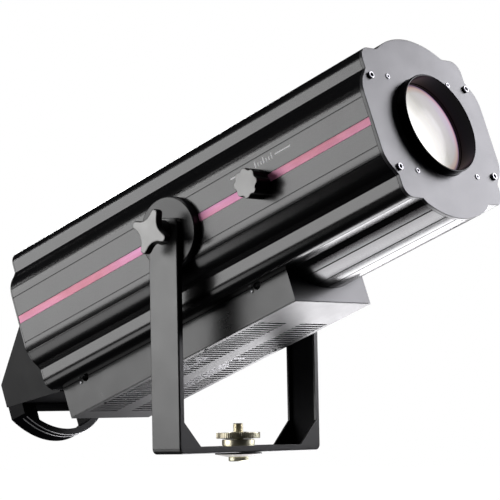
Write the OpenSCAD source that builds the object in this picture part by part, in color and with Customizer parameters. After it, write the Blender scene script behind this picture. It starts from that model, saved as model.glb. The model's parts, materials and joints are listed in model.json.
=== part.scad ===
// Follow spot on a pressed yoke, millimetres.
// X runs across the lamp, the beam leaves toward -Y, Z is up.
// The origin sits on the pan axis, at the underside of the yoke bar.

/* [Pose] */
// upward tilt of the lamp head, in degrees
tilt = 19.5; // [0:0.5:40]
// height of the tilt axis above the underside of the yoke bar
pivot_h = 300; // [280:1:340]

/* [Head body] */
// distance from the tilt axis to the front face of the front plate
nose_y = 368.8; // [300:0.2:450]
// distance from the tilt axis to the rear end of the body
tail_y = 319; // [250:1:400]
// half width over the side flats
flat_x = 128.5; // [110:0.5:150]
// radius of the top and bottom arches
arch_r = 129.5; // [110:0.5:150]
// how far the arch centre lies under the tilt axis
arch_drop = 1.5; // [0:0.5:4]
// half height over the four corner lobes
lobe_z = 106.5; // [95:0.5:120]
// half width over the four corner lobes
lobe_x = 109; // [100:0.5:120]
// wall of the extruded body
body_wall = 3; // [2:0.5:5]
// thickness of the front and rear end plates
plate_t = 5; // [3:0.5:8]

/* [Lens and focus] */
// outer radius of the lens tube in front of the plate
ring_r = 70.2; // [60:0.2:80]
// how far the lens tube stands out of the front plate
ring_out = 14.6; // [8:0.2:25]
// outer radius of the front lens
lens_r = 67.4; // [55:0.2:75]
// distance of the focus knob in front of the tilt axis
focus_y = 166; // [120:0.5:220]
// diameter of the focus knob
focus_knob_d = 41; // [30:1:55]
// height of the focus knob
focus_knob_h = 29; // [20:0.5:45]
// focus travel each way from the middle
focus_travel = 12; // [6:1:20]

/* [Yoke] */
// width of the yoke over both arms
yoke_out = 298; // [280:1:340]
// width of the pressed channel
yoke_w = 52; // [40:1:70]
// sheet thickness of the yoke
yoke_t = 3; // [2:0.5:5]
// depth of the turned-in lips of the channel
yoke_lip = 9; // [6:0.5:14]
// leg of the corner gussets
gusset = 34; // [20:1:50]
// height of the arm top above the tilt axis
arm_top = 19.5; // [15:0.5:30]
// radius of the tilt boss discs
boss_r = 50; // [35:1:60]
// diameter of the tilt star knobs
star_d = 64; // [50:1:80]

/* [Vented box] */
// half width of the box under the body
box_x = 81; // [60:1:95]
// distance from the tilt axis to the front of the box
box_front = 132; // [100:1:200]
// distance from the tilt axis to the rear of the box
box_rear = 314; // [250:1:319]
// distance from the tilt axis down to the box underside
box_z = 152.6; // [130:0.2:180]
// number of vent slots in each row
slots = 45; // [20:1:60]
// spacing of the vent slots
slot_pitch = 7.7; // [5:0.1:12]
// width of each vent slot
slot_w = 4; // [2:0.5:5]

/* [Rear hood] */
// distance from the tilt axis to the rear face of the hood
hood_rear = 433; // [380:1:480]
// height of the upper edge of the slanted panel
hood_top = 60; // [40:1:80]
// depth of the hood rear face under the tilt axis, upper edge
hood_lip = 56; // [40:1:70]
// depth of the hood rear face under the tilt axis, lower edge
hood_low = 91; // [80:1:110]

/* [Hidden] */

focus_z = -1;
sheet = 1.5;
big_seg = 128;
mid_seg = 72;
small_seg = 36;

body_front = -nose_y + plate_t;
side_arc_r = 40;
side_arc_z = 38;
side_arc_a = 50;
lobe_r = 18;
seam_z = 69;

stripe_z = 0.5;
stripe_h = 11.5;
stripe_depth = 2.2;
seam_groove_z = 34.5;
seam_groove_w = 1.2;
shoulder_z = 48;
arch_grooves = [3.2, 12.6, 24.4];

corner_screw = [104, 64.7];
rail_pos = [65.7, 67.2];
rail_r = 6;
screw_port_r = 6.5;
notch_y = [-77, 267];
notch_r = 6;
fixing_gap = 11;
fixing_z = -111;
fixing_head_r = 2.8;
cover_screw_y = [45, 250];
cover_screw_in = 8;
slot_x = [15, 73];
slot_first = -55;

boss_face = 139.6;
arm_out = yoke_out / 2;
arm_in = arm_out - yoke_t;
washer_r = 20;
tilt_stud_r = 6;
arm_gap = 0.4;
star_face = 176.5;

lens_seat_y = -nose_y + 8.4;
tube_in_r = 67.8;
carriage_t = 14;
focus_lens_r = 50;
iris_y = -40;
wheel_y = 42;
wheel_z = 50;
wheel_r = 59.5;
lamp_y = 92;
sink_y = 118;
sink_len = 88;
fan_y = 222;
fan_t = 32;
fan_r = 62;

slant_len = sqrt(pow(hood_rear - tail_y, 2) + pow(hood_top + hood_lip, 2));
slant_a = atan2(hood_top + hood_lip, hood_rear - tail_y);
hood_joint_z = 108;
panel_x = 74;
panel_margin = 9;
panel_t = 2;

inlet = [58, -137.6];
fuse = [-64, -138];
switch = [-36, -141];

handle_front = 401;
handle_rear = 430;
handle_leg = 27;
handle_arc_r = 113;
handle_low = 146;
grip_t = 9;

black = [0.09, 0.09, 0.10];
grey = [0.35, 0.35, 0.37];
pink = [0.90, 0.55, 0.65];
brass = [0.85, 0.65, 0.30];
steel = [0.70, 0.70, 0.72];
glass = [0.75, 0.82, 0.90];

function arc(cx, cz, r, a0, a1, n) =
    [for (i = [0 : n]) [cx + r * cos(a0 + (a1 - a0) * i / n), cz + r * sin(a0 + (a1 - a0) * i / n)]];
function under(p) = [for (i = [len(p) - 1 : -1 : 0]) [p[i][0], -p[i][1]]];

// one corner of the body section, from the side flat round the lobe to the arch;
// in_by shrinks it, s is +1 for the top and -1 for the bottom
function arch_z(x, in_by, s) = sqrt(pow(arch_r - in_by, 2) - x * x) - s * arch_drop;
function corner(in_by, s) = concat(
    arc(flat_x - side_arc_r, side_arc_z, side_arc_r - in_by, 0, side_arc_a, 8),
    [[lobe_x - in_by, 75.5 - in_by * 0.6]],
    arc(lobe_x - lobe_r, lobe_z - lobe_r, lobe_r - in_by, 0, 90, 8),
    [[72 - in_by * 1.2, lobe_z - in_by]],
    [for (i = [0 : 12]) let(x = 66 * (1 - i / 12)) [x, arch_z(x, in_by, s)]]);
function half(in_by, s) = let(c = corner(in_by, s))
    concat(c, [for (i = [len(c) - 2 : -1 : 0]) [-c[i][0], c[i][1]]]);
function section(in_by) = concat(half(in_by, 1), under(half(in_by, -1)));

module head() {
    translate([0, 0, pivot_h]) rotate([-tilt, 0, 0]) children();
}
module both() {
    children();
    mirror([1, 0, 0]) children();
}
module along_y(y0, len) {
    translate([0, y0 + len, 0]) rotate([90, 0, 0]) linear_extrude(len) children();
}
module cyl_y(x, y0, z, r, len, seg = small_seg) {
    translate([x, y0, z]) rotate([-90, 0, 0]) cylinder(r = r, h = len, $fn = seg);
}
module cyl_x(x0, y, z, r, len, seg = small_seg) {
    translate([x0, y, z]) rotate([0, 90, 0]) cylinder(r = r, h = len, $fn = seg);
}
module block(x0, x1, y0, y1, z0, z1) {
    translate([x0, y0, z0]) cube([x1 - x0, y1 - y0, z1 - z0]);
}
module four(p) {
    for (sx = [-1, 1], sz = [-1, 1]) translate([sx * p[0], 0, sz * p[1]]) children();
}
module pan_screw(r, head_t, len) {
    rotate([-90, 0, 0]) cylinder(r = r * 0.5, h = len, $fn = small_seg);
    difference() {
        translate([0, -head_t, 0]) rotate([-90, 0, 0])
            cylinder(r1 = r * 0.8, r2 = r, h = head_t, $fn = small_seg);
        translate([0, -head_t - 1, 0]) rotate([-90, 0, 0])
            cylinder(r = r * 0.42, h = head_t * 0.6 + 1, $fn = 6);
    }
}

// ---- body of the lamp
module body_ring() {
    difference() {
        polygon(section(0));
        polygon(section(body_wall));
    }
}
module body_part_2d(z0, z1) {
    intersection() {
        body_ring();
        translate([-flat_x - 1, z0]) square([2 * flat_x + 2, z1 - z0]);
    }
}
module arch_groove_2d(s) {
    for (a = arch_grooves, sx = [-1, 1])
        translate([sx * arch_r * sin(a), s * arch_r * cos(a) - arch_drop])
            rotate(45) square(1.3, center = true);
}
module shell_part(s) {
    difference() {
        if (s > 0) body_part_2d(seam_z + 0.1, 140);
        else body_part_2d(-140, -seam_z - 0.1);
        arch_groove_2d(s);
    }
}
module body_top() {
    color(black) head() along_y(body_front, tail_y - body_front) shell_part(1);
}
module body_bottom() {
    color(black) head() difference() {
        union() {
            along_y(body_front, tail_y - body_front) shell_part(-1);
            both() for (y = notch_y)
                block(68, box_x - sheet - 0.2, y - 8, y + fixing_gap + 7, fixing_z - 6, -lobe_z + 1);
        }
        block(-60, 60, 60, 260, -140, -110);
        both() for (y = notch_y) cyl_x(60, y + fixing_gap, fixing_z, 2.05, 30);
    }
}
module side_2d() {
    difference() {
        union() {
            intersection() {
                body_ring();
                translate([0, -seam_z + 0.1]) square([flat_x + 1, 2 * seam_z - 0.2]);
            }
            intersection() {
                polygon(section(body_wall - 0.5));
                for (s = [-1, 1]) translate([corner_screw[0], s * corner_screw[1]]) {
                    circle(r = screw_port_r, $fn = small_seg);
                    translate([0, -screw_port_r + (s > 0 ? 0 : 4)]) square([20, 2 * screw_port_r - 4]);
                }
                translate([0, -seam_z + 0.1]) square([flat_x + 1, 2 * seam_z - 0.2]);
            }
            translate([flat_x - body_wall - 2.5, stripe_z - 9]) square([3, 18]);
        }
        translate([flat_x - stripe_depth, stripe_z - stripe_h / 2]) square([stripe_depth + 1, stripe_h]);
        for (s = [-1, 1]) {
            translate([flat_x - 0.9, s * seam_groove_z - seam_groove_w / 2]) square([2, seam_groove_w]);
            translate([flat_x - 4.2, s * shoulder_z]) rotate(45) square(1.6, center = true);
            translate([corner_screw[0], s * corner_screw[1]]) circle(r = 2.6, $fn = small_seg);
        }
    }
}
module side_wall() {
    difference() {
        along_y(body_front, tail_y - body_front) side_2d();
        cyl_x(flat_x - 12, 0, 0, 11, 20);
    }
}
module focus_slot() {
    for (d = [-focus_travel, focus_travel]) cyl_x(-flat_x - 2, -focus_y + d, focus_z, 4.4, 14);
    block(-flat_x - 2, -flat_x + 12, -focus_y - focus_travel, -focus_y + focus_travel,
        focus_z - 4.4, focus_z + 4.4);
}
module side_left() {
    color(black) head() difference() {
        mirror([1, 0, 0]) side_wall();
        focus_slot();
    }
}
module side_right() {
    color(black) head() side_wall();
}
module stripe_bar() {
    block(flat_x - stripe_depth, flat_x - 0.4, body_front, -boss_r - 0.6,
        stripe_z - stripe_h / 2, stripe_z + stripe_h / 2);
    block(flat_x - stripe_depth, flat_x - 0.4, boss_r + 0.6, tail_y,
        stripe_z - stripe_h / 2, stripe_z + stripe_h / 2);
}
module stripe_left() {
    color(pink) head() difference() {
        mirror([1, 0, 0]) stripe_bar();
        focus_slot();
    }
}
module stripe_right() {
    color(pink) head() stripe_bar();
}
module front_plate() {
    color(grey) head() difference() {
        along_y(-nose_y, plate_t) difference() {
            polygon(section(0));
            circle(r = ring_r + 0.1, $fn = big_seg);
        }
        four(corner_screw) cyl_y(0, -nose_y - 1, 0, 2.7, plate_t + 2);
        four(rail_pos) cyl_y(0, -nose_y - 1, 0, 2.2, plate_t + 2);
    }
}
module plate_screws() {
    color(steel) head() four(corner_screw) translate([0, -nose_y, 0]) pan_screw(5, 3.4, 18);
}
module rail_screws() {
    color(steel) head() four(rail_pos) translate([0, -nose_y, 0]) pan_screw(4, 1.6, 16);
}
module rear_plate() {
    color(black) head() along_y(tail_y, plate_t - 2) difference() {
        polygon(section(0));
        translate([-60, -70]) square([120, 90]);
        for (i = [-4 : 4], k = [0 : 2]) translate([i * 12, 68 + k * 12]) circle(r = 4, $fn = small_seg);
        for (sx = [-1, 1], s = [-1, 1]) translate([sx * corner_screw[0], s * corner_screw[1]])
            circle(r = 2.7, $fn = small_seg);
    }
}
module rear_screws() {
    color(steel) head() four(corner_screw)
        translate([0, tail_y + plate_t - 2, 0]) mirror([0, 1, 0]) pan_screw(5, 3.4, 16);
}

// ---- lens tube, lenses and the moving optics
module lens_tube() {
    color(black) head() translate([0, -nose_y - ring_out, 0]) rotate([-90, 0, 0]) rotate_extrude($fn = big_seg)
        polygon([[tube_in_r, 0.6], [tube_in_r + 0.6, 0], [ring_r - 0.8, 0], [ring_r, 0.8],
            [ring_r, ring_out + plate_t + 0.1], [ring_r + 6, ring_out + plate_t + 0.1],
            [ring_r + 6, ring_out + plate_t + 3],
            [ring_r, ring_out + plate_t + 3], [ring_r, 62], [lens_r - 5, 62], [lens_r - 5, 41.5],
            [tube_in_r, 41.5]]);
}
module front_lens() {
    color(glass) head() translate([0, lens_seat_y, 0]) rotate([-90, 0, 0]) rotate_extrude($fn = big_seg)
        polygon(concat([[0, 18], [lens_r, 18], [lens_r, 4]],
            [for (i = [0 : 14]) let(r = lens_r - 3 - (lens_r - 3) * i / 14)
                [r, 4 - (sqrt(230 * 230 - r * r) - sqrt(230 * 230 - pow(lens_r - 3, 2)))]]));
}
module lens_retainer() {
    color(black) head() difference() {
        cyl_y(0, lens_seat_y, 0, tube_in_r - 0.1, 3.6, big_seg);
        cyl_y(0, lens_seat_y - 1, 0, 64.4, 6, big_seg);
    }
}
module optical_rails() {
    color(steel) head() four(rail_pos) difference() {
        cyl_y(0, body_front, 0, rail_r, lamp_y - body_front);
        cyl_y(0, body_front - 1, 0, 2.05, 18);
    }
}
module carriage_plate() {
    difference() {
        union() {
            along_y(-carriage_t / 2, carriage_t) intersection() {
                circle(r = 84, $fn = big_seg);
                square([170, 150], center = true);
            }
            four(rail_pos) cyl_y(0, -carriage_t, 0, rail_r + 5, 2 * carriage_t);
        }
        cyl_y(0, -carriage_t, 0, focus_lens_r - 3, 2 * carriage_t, big_seg);
        cyl_y(0, -2, 0, focus_lens_r + 0.1, carriage_t, big_seg);
        four(rail_pos) cyl_y(0, -carriage_t - 1, 0, rail_r + 0.08, 2 * carriage_t + 2);
    }
}
module focus_carriage() {
    color(grey) head() translate([0, -focus_y, 0]) {
        carriage_plate();
        difference() {
            block(-118, -70, -6, 6, focus_z - 6, focus_z + 6);
            cyl_x(-122, 0, focus_z, 3.05, 24);
        }
    }
}
module focus_lens() {
    color(glass) head() translate([0, -focus_y - 2, 0]) rotate([-90, 0, 0]) rotate_extrude($fn = big_seg)
        polygon(concat([[focus_lens_r, 0.2], [focus_lens_r, 5]],
            [for (i = [0 : 12]) let(r = focus_lens_r - 2 - (focus_lens_r - 2) * i / 12)
                [r, 5 + sqrt(120 * 120 - r * r) - sqrt(120 * 120 - pow(focus_lens_r - 2, 2))]], [[0, 0.2]]));
}
module lobed_2d(r, n, bite, bite_out) {
    difference() {
        circle(r = r, $fn = mid_seg);
        for (i = [0 : n - 1]) rotate(i * 360 / n) translate([r + bite_out, 0]) circle(r = bite, $fn = small_seg);
    }
}
module focus_knob() {
    color(black) head() translate([-flat_x - 0.4, -focus_y, focus_z]) rotate([0, -90, 0]) {
        difference() {
            linear_extrude(focus_knob_h) lobed_2d(focus_knob_d / 2, 8, 5, 3.4);
            translate([0, 0, -1]) cylinder(r = 13, h = 5, $fn = small_seg);
        }
        translate([0, 0, -10]) cylinder(r = 4, h = 18, $fn = small_seg);
        translate([0, 0, -28]) cylinder(r = 3, h = 20, $fn = small_seg);
    }
}
module iris_unit() {
    color(black) head() difference() {
        union() {
            cyl_y(0, iris_y, 0, 62, 12, big_seg);
            four(rail_pos) cyl_y(0, iris_y, 0, rail_r + 5, 12);
            for (sx = [-1, 1], sz = [-1, 1])
                hull_bar(sx * 40, sz * 40, sx * rail_pos[0], sz * rail_pos[1], iris_y, 12);
        }
        cyl_y(0, iris_y - 1, 0, 30, 14, big_seg);
        cyl_y(0, iris_y + 3, 0, 50, 10, big_seg);
        four(rail_pos) cyl_y(0, iris_y - 1, 0, rail_r + 0.05, 14);
    }
}
module hull_bar(x0, z0, x1, z1, y0, len) {
    a = atan2(z1 - z0, x1 - x0);
    l = sqrt(pow(x1 - x0, 2) + pow(z1 - z0, 2));
    translate([x0, y0, z0]) rotate([0, -a, 0]) block(0, l, 0, len, -6, 6);
}
module iris_ring() {
    color(steel) head() difference() {
        union() {
            cyl_y(0, iris_y + 4, 0, 49, 6, big_seg);
            rotate([0, 20, 0]) block(-2, 2, iris_y + 4, iris_y + 20, 36, 48);
        }
        cyl_y(0, iris_y + 3, 0, 26, 30, big_seg);
    }
}
module colour_wheel() {
    color(steel) head() translate([0, wheel_y, wheel_z]) difference() {
        union() {
            cyl_y(0, 0, 0, wheel_r, 2, big_seg);
            cyl_y(0, -4, 0, 9, 10);
        }
        cyl_y(0, -5, 0, 2.55, 12);
        for (a = [0 : 45 : 315]) rotate([0, a, 0]) cyl_y(0, -1, -wheel_z, 8.5, 4);
    }
}
module wheel_motor() {
    color(grey) head() translate([0, wheel_y, wheel_z]) {
        block(-21, 21, -42, -8, -21, 21);
        cyl_y(0, -9, 0, 2.5, 17);
        difference() {
            block(-78, 78, -11, -8, -4, 32);
            for (sx = [-1, 1]) cyl_y(sx * rail_pos[0], -12, rail_pos[1] - wheel_z, rail_r + 0.05, 6);
        }
    }
}
module lamp_plate() {
    color(steel) head() difference() {
        block(-82, 82, lamp_y, lamp_y + 5, -78, 78);
        cyl_y(0, lamp_y - 1, 0, 32, 8, big_seg);
    }
}
module condenser() {
    color(glass) head() translate([0, lamp_y - 26, 0]) rotate([-90, 0, 0]) rotate_extrude($fn = mid_seg)
        polygon([[0, 0], [34, 0], [42, 4], [42, 25.5], [36, 25.5], [36, 12], [0, 10]]);
}
module led_module() {
    color(brass) head() {
        block(-30, 30, lamp_y + 6, sink_y, -30, 30);
        cyl_y(0, lamp_y - 4, 0, 16, 12, mid_seg);
    }
}
module heatsink() {
    color(grey) head() {
        block(-80, 80, sink_y, sink_y + 10, -76, 76);
        for (i = [-13 : 13]) block(i * 6 - 0.9, i * 6 + 0.9, sink_y + 10, sink_y + sink_len, -76, 76);
    }
}
module fan_frame() {
    color(black) head() {
        difference() {
            block(-70, 70, fan_y, fan_y + fan_t, -70, 70);
            cyl_y(0, fan_y - 1, 0, fan_r + 2, fan_t + 2, mid_seg);
            four([62, 62]) cyl_y(0, fan_y - 1, 0, 2.4, fan_t + 2);
        }
        difference() {
            union() {
                cyl_y(0, fan_y + fan_t - 4, 0, 22, 4, mid_seg);
                for (a = [45 : 90 : 315]) rotate([0, a, 0])
                    block(20, fan_r + 4, fan_y + fan_t - 4, fan_y + fan_t, -2.5, 2.5);
            }
            cyl_y(0, fan_y, 0, 4.05, fan_t + 1);
        }
    }
}
module fan_rotor() {
    color(black) head() {
        cyl_y(0, fan_y + 3, 0, 21, 22, mid_seg);
        cyl_y(0, fan_y + 20, 0, 4, 11);
        for (a = [0 : 360 / 7 : 359]) rotate([0, a, 0])
            translate([20, fan_y + 13, 0]) rotate([35, 0, 0]) block(0, 40, -1, 1, -13, 13);
    }
}

// ---- tilt joint, outside of the body
module tilt_boss() {
    difference() {
        union() {
            cyl_x(flat_x, 0, 0, boss_r, boss_face - flat_x, big_seg);
            cyl_x(flat_x - 18, 0, 0, 10.9, 19);
        }
        cyl_x(flat_x - 19, 0, 0, tilt_stud_r + 0.05, 40);
        translate([boss_face - 1.2, 0, 0]) rotate([0, 90, 0]) rotate_extrude($fn = big_seg)
            translate([boss_r - 1.2, 0]) rotate(45) translate([0.9, 0]) square([3, 6], center = true);
    }
}
module tilt_boss_left() {
    color(grey) head() mirror([1, 0, 0]) tilt_boss();
}
module tilt_boss_right() {
    color(grey) head() tilt_boss();
}
module friction_washer() {
    difference() {
        cyl_x(boss_face, 0, 0, washer_r, arm_in - boss_face - arm_gap, mid_seg);
        cyl_x(boss_face - 1, 0, 0, tilt_stud_r + 0.6, 12);
    }
}
module friction_washer_left() {
    color(black) head() mirror([1, 0, 0]) friction_washer();
}
module friction_washer_right() {
    color(black) head() friction_washer();
}
module star_knob() {
    translate([star_face, 0, 0]) rotate([0, -90, 0]) {
        linear_extrude(12) lobed_2d(star_d / 2, 4, 22, 7.8);
        translate([0, 0, 11]) cylinder(r1 = 15, r2 = 17, h = star_face - arm_out - 11.5, $fn = mid_seg);
    }
    cyl_x(flat_x - 16, 0, 0, tilt_stud_r, star_face - flat_x + 10);
}
module tilt_knob_left() {
    color(black) head() rotate([-3, 0, 0]) mirror([1, 0, 0]) star_knob();
}
module tilt_knob_right() {
    color(black) head() rotate([28, 0, 0]) star_knob();
}

// ---- yoke and stand adapter
module yoke_side_2d(inset_by) {
    difference() {
        translate([-arm_out + inset_by, inset_by]) square([yoke_out - 2 * inset_by, pivot_h + arm_top - inset_by]);
        translate([-arm_out + yoke_lip, yoke_lip]) square([yoke_out - 2 * yoke_lip, pivot_h + arm_top]);
    }
}
module gusset_2d() {
    for (sx = [-1, 1]) translate([sx * (arm_out - yoke_lip), yoke_lip])
        polygon([[-sx * -0.1, -0.1], [-sx * gusset, -0.1], [-sx * -0.1, gusset]]);
}
module yoke_corner_cut(y) {
    for (sx = [-1, 1]) difference() {
        translate([sx * (arm_out - 4), y, 4]) block(-9, 9, -yoke_w, yoke_w, -9, 9);
        translate([sx * (arm_out - 8), 0, 8]) rotate([90, 0, 0])
            cylinder(r = 8, h = 3 * yoke_w, center = true, $fn = small_seg);
        translate([sx * (arm_out - 8 - 10), 0, 8]) block(-10, 10, -60, 60, -20, 20);
        translate([sx * (arm_out - 8), 0, 18]) block(-20, 20, -60, 60, -10, 10);
    }
}
module yoke_frame() {
    color(grey) difference() {
        union() {
            difference() {
                block(-arm_out, arm_out, -yoke_w / 2, yoke_w / 2, 0, pivot_h + arm_top);
                block(-arm_in, arm_in, -yoke_w, yoke_w, yoke_t, 2 * pivot_h);
            }
            for (sy = [-1, 1]) translate([0, sy * (yoke_w / 2 - yoke_t / 2) + yoke_t / 2, 0])
                rotate([90, 0, 0]) linear_extrude(yoke_t) {
                    yoke_side_2d(0.5);
                    gusset_2d();
                }
        }
        yoke_corner_cut(0);
        for (sx = [-1, 1], sy = [-1, 1]) translate([sx * arm_out, sy * yoke_w / 2, 0])
            rotate(45) cube([1.7, 1.7, 3 * pivot_h], center = true);
        for (sy = [-1, 1]) translate([0, sy * yoke_w / 2, 0]) rotate([45, 0, 0])
            cube([3 * arm_out, 1.7, 1.7], center = true);
        for (sy = [-1, 1]) translate([0, sy * yoke_w / 2, pivot_h + arm_top]) rotate([45, 0, 0])
            cube([3 * arm_out, 9, 9], center = true);
        translate([0, 0, pivot_h]) rotate([0, 90, 0])
            cylinder(r = tilt_stud_r + 0.5, h = 2 * yoke_out, center = true, $fn = small_seg);
        translate([0, 0, -1]) cylinder(r = 7.6, h = 8, $fn = small_seg);
    }
}
module stand_adapter() {
    color(brass) difference() {
        rotate_extrude($fn = mid_seg)
            polygon([[0, -12.5], [13.2, -12.5], [14, -11.7], [14, -6.5], [12.6, -5.6], [12.6, -2.6],
                [7, -2.6], [7, 39.6], [6.2, 40.4], [0, 40.4]]);
        translate([0, 0, -14]) cylinder(r = 4.25, h = 21.5, $fn = small_seg);
    }
}
module pan_washer() {
    color(black) rotate_extrude($fn = mid_seg)
        polygon([[7.2, -0.3], [30, -0.3], [33, -1.4], [33, -2.4], [31.6, -2.9], [16.2, -6.1], [15.2, -6.1],
            [13.2, -2.5], [7.2, -2.5]]);
}
module pan_collar() {
    color(brass) rotate_extrude($fn = mid_seg)
        polygon([[7.15, yoke_t + 0.3], [22, yoke_t + 0.3], [22.8, yoke_t + 1.2], [22.8, 17.2], [22, 18], [7.15, 18]]);
}
module pan_lock_wheel() {
    color(brass) difference() {
        rotate_extrude($fn = big_seg)
            polygon([[7.05, 18.4], [17, 18.4], [29.4, 19.2], [30.6, 20.4], [30.6, 26.4], [29.4, 27.6],
                [12, 28.4], [7.05, 28.4]]);
        for (i = [0 : 59]) rotate(i * 6) translate([31, 0, 18]) rotate(45) cube([1.5, 1.5, 30], center = true);
    }
}

// ---- vented box under the body
module belly_2d(out_by) {
    translate([0, -arch_drop]) circle(r = arch_r + out_by, $fn = big_seg);
}
module box_end_2d() {
    difference() {
        translate([-box_x, -box_z + sheet]) square([2 * box_x, box_z - 80 - sheet]);
        belly_2d(0.3);
        translate([-box_x - 1, -lobe_z - 0.6]) square([2 * box_x + 2, 80]);
    }
}
module box_shell() {
    color(black) head() difference() {
        union() {
            both() block(box_x - sheet, box_x, -box_front, box_rear, -box_z + sheet, -lobe_z - 0.6);
            both() block(box_x - 14, box_x, -box_front, box_rear, -box_z + sheet, -box_z + 2 * sheet);
            along_y(-box_front, sheet) box_end_2d();
            along_y(box_rear - sheet, sheet) box_end_2d();
        }
        both() for (y = notch_y) {
            cyl_x(box_x - 4, y, -lobe_z - 0.6, notch_r, 8);
            cyl_x(box_x - 4, y + fixing_gap, fixing_z, 2.3, 8);
        }
        translate([inlet[0], box_rear, inlet[1]]) block(-15, 15, -5, 5, -10.6, 10.6);
        translate([switch[0], box_rear, switch[1]]) block(-10, 10, -5, 5, -7, 7);
        cyl_y(fuse[0], box_rear - 5, fuse[1], 7.2, 10);
        both() for (y = cover_screw_y) translate([box_x - cover_screw_in, y, -box_z])
            cylinder(r = 1.6, h = 6, $fn = small_seg);
    }
}
module box_cover() {
    color(black) head() difference() {
        block(-box_x, box_x, -box_front, box_rear, -box_z, -box_z + sheet);
        for (i = [0 : slots - 1]) both()
            translate([0, slot_first + i * slot_pitch, -box_z])
                block(slot_x[0], slot_x[1], -slot_w / 2, slot_w / 2, -1, sheet + 1);
        both() for (y = cover_screw_y) translate([box_x - cover_screw_in, y, -box_z - 1])
            cylinder(r = 1.7, h = 6, $fn = small_seg);
    }
}
module box_screws() {
    color(steel) head() both() for (y = notch_y) {
        cyl_x(box_x + 0.02, y + fixing_gap, fixing_z, fixing_head_r, 1.6);
        cyl_x(box_x - 11, y + fixing_gap, fixing_z, 2, 11.3);
    }
}
module cover_screws() {
    color(steel) head() both() for (y = cover_screw_y) translate([box_x - cover_screw_in, y, -box_z])
        rotate([90, 0, 0]) pan_screw(3, 1.2, 8);
}
module power_supply() {
    color(steel) head() translate([0, 0, -3]) {
        block(-52, 52, 78, 246, -box_z + 7, -116);
        for (y = [100, 230]) both() block(40, 50, y - 5, y + 5, -box_z + 2 * sheet + 1.5, -box_z + 7);
    }
}
module driver_board() {
    color([0.1, 0.4, 0.2]) head() {
        block(-50, 50, -60, 60, -box_z + 8, -box_z + 9.6);
        for (i = [0 : 3]) translate([-32 + i * 21, 0, -box_z + 9.6]) cylinder(r = 6, h = 10, $fn = small_seg);
        block(-40, 30, -50, -30, -box_z + 9.6, -box_z + 15);
        for (sx = [-1, 1], y = [-52, 52]) translate([sx * 44, y, -box_z + sheet])
            cylinder(r = 3, h = 6.5, $fn = small_seg);
    }
}

// ---- control hood, its panel, sockets and the operator handle
module hood_2d(in_by) {
    polygon([[tail_y + plate_t - 2, hood_top - 3 - in_by * 2.4],
        [hood_rear - in_by, -hood_lip - in_by * 0.4], [hood_rear - in_by, -hood_low + in_by],
        [tail_y + plate_t - 2, -hood_joint_z + in_by * 1.1]]);
}
module along_x(x0, len) {
    translate([x0, 0, 0]) rotate([90, 0, 90]) linear_extrude(len) children();
}
module on_slant() {
    translate([0, tail_y, hood_top]) rotate([-slant_a, 0, 0]) children();
}
module control_hood() {
    color(black) head() difference() {
        along_x(-box_x, 2 * box_x) hood_2d(0);
        along_x(-box_x + sheet + 0.5, 2 * (box_x - sheet - 0.5)) hood_2d(2);
        on_slant() block(-panel_x + 4, panel_x - 4, panel_margin + 3, slant_len - panel_margin - 3, -12, 4);
        on_slant() block(-panel_x, panel_x, panel_margin, slant_len - panel_margin, -panel_t + 0.05, 4);
        for (x = [-40, 40]) cyl_y(x, hood_rear - 6, -73.5, 11.6, 10);
    }
}
module fader_slots(cut) {
    for (x = [-46, -22, 2]) block(x - 1.6, x + 1.6, 44, 96, -6, cut);
}
module control_panel() {
    color(black) head() on_slant() difference() {
        block(-panel_x + 0.2, panel_x - 0.2, panel_margin + 0.2, slant_len - panel_margin - 0.2, -panel_t + 0.05, 0);
        fader_slots(3);
        block(18, 64, 28, 56, -5, 3);
        for (x = [26, 54], y = [84, 106]) translate([x, y, -6]) cylinder(r = 6.3, h = 10, $fn = small_seg);
    }
}
module display_window() {
    color(glass) head() on_slant() block(18.2, 63.8, 28.2, 55.8, -panel_t, -0.2);
}
module fader(x) {
    color(grey) head() on_slant() {
        block(x - 1.1, x + 1.1, 66, 74, -7, 4);
        difference() {
            block(x - 6, x + 6, 62, 78, 1, 9);
            translate([x, 70, 11.5]) rotate([0, 90, 0]) cylinder(r = 4, h = 20, center = true, $fn = small_seg);
        }
    }
}
module fader_dimmer() { fader(-46); }
module fader_iris() { fader(-22); }
module fader_colour() { fader(2); }
module push_button(x, y) {
    color(grey) head() on_slant() translate([x, y, -4]) cylinder(r = 5.9, h = 7.5, $fn = small_seg);
}
module button_up() { push_button(26, 84); }
module button_down() { push_button(26, 106); }
module button_mode() { push_button(54, 84); }
module button_enter() { push_button(54, 106); }
module signal_sockets() {
    color(steel) head() for (x = [-40, 40]) difference() {
        union() {
            cyl_y(x, hood_rear - 24, -73.5, 11.2, 24);
            block(x - 13, x + 13, hood_rear, hood_rear + 1.6, -88.5, -58.5);
        }
        cyl_y(x, hood_rear - 12, -73.5, 9, 20);
        for (p = [[0, 4], [-4, -2], [4, -2]]) cyl_y(x + p[0], hood_rear - 20, -73.5 + p[1], 1.3, 10);
    }
}
module power_inlet() {
    color(black) head() translate([inlet[0], box_rear, inlet[1]]) {
        difference() {
            union() {
                block(-14.7, 14.7, -26, 0, -10.3, 10.3);
                block(-20, 20, 0.05, 3, -11.4, 11.4);
            }
            block(-12, 12, -18, 4, -8.5, 8.5);
        }
        for (p = [[-7, -2], [7, -2], [0, 3]]) block(p[0] - 1, p[0] + 1, -18.5, -9, p[1] - 2, p[1] + 2);
    }
}
module fuse_holder() {
    color(black) head() {
        cyl_y(fuse[0], box_rear - 22, fuse[1], 6.9, 24);
        cyl_y(fuse[0], box_rear + 0.05, fuse[1], 9, 6);
    }
}
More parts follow.
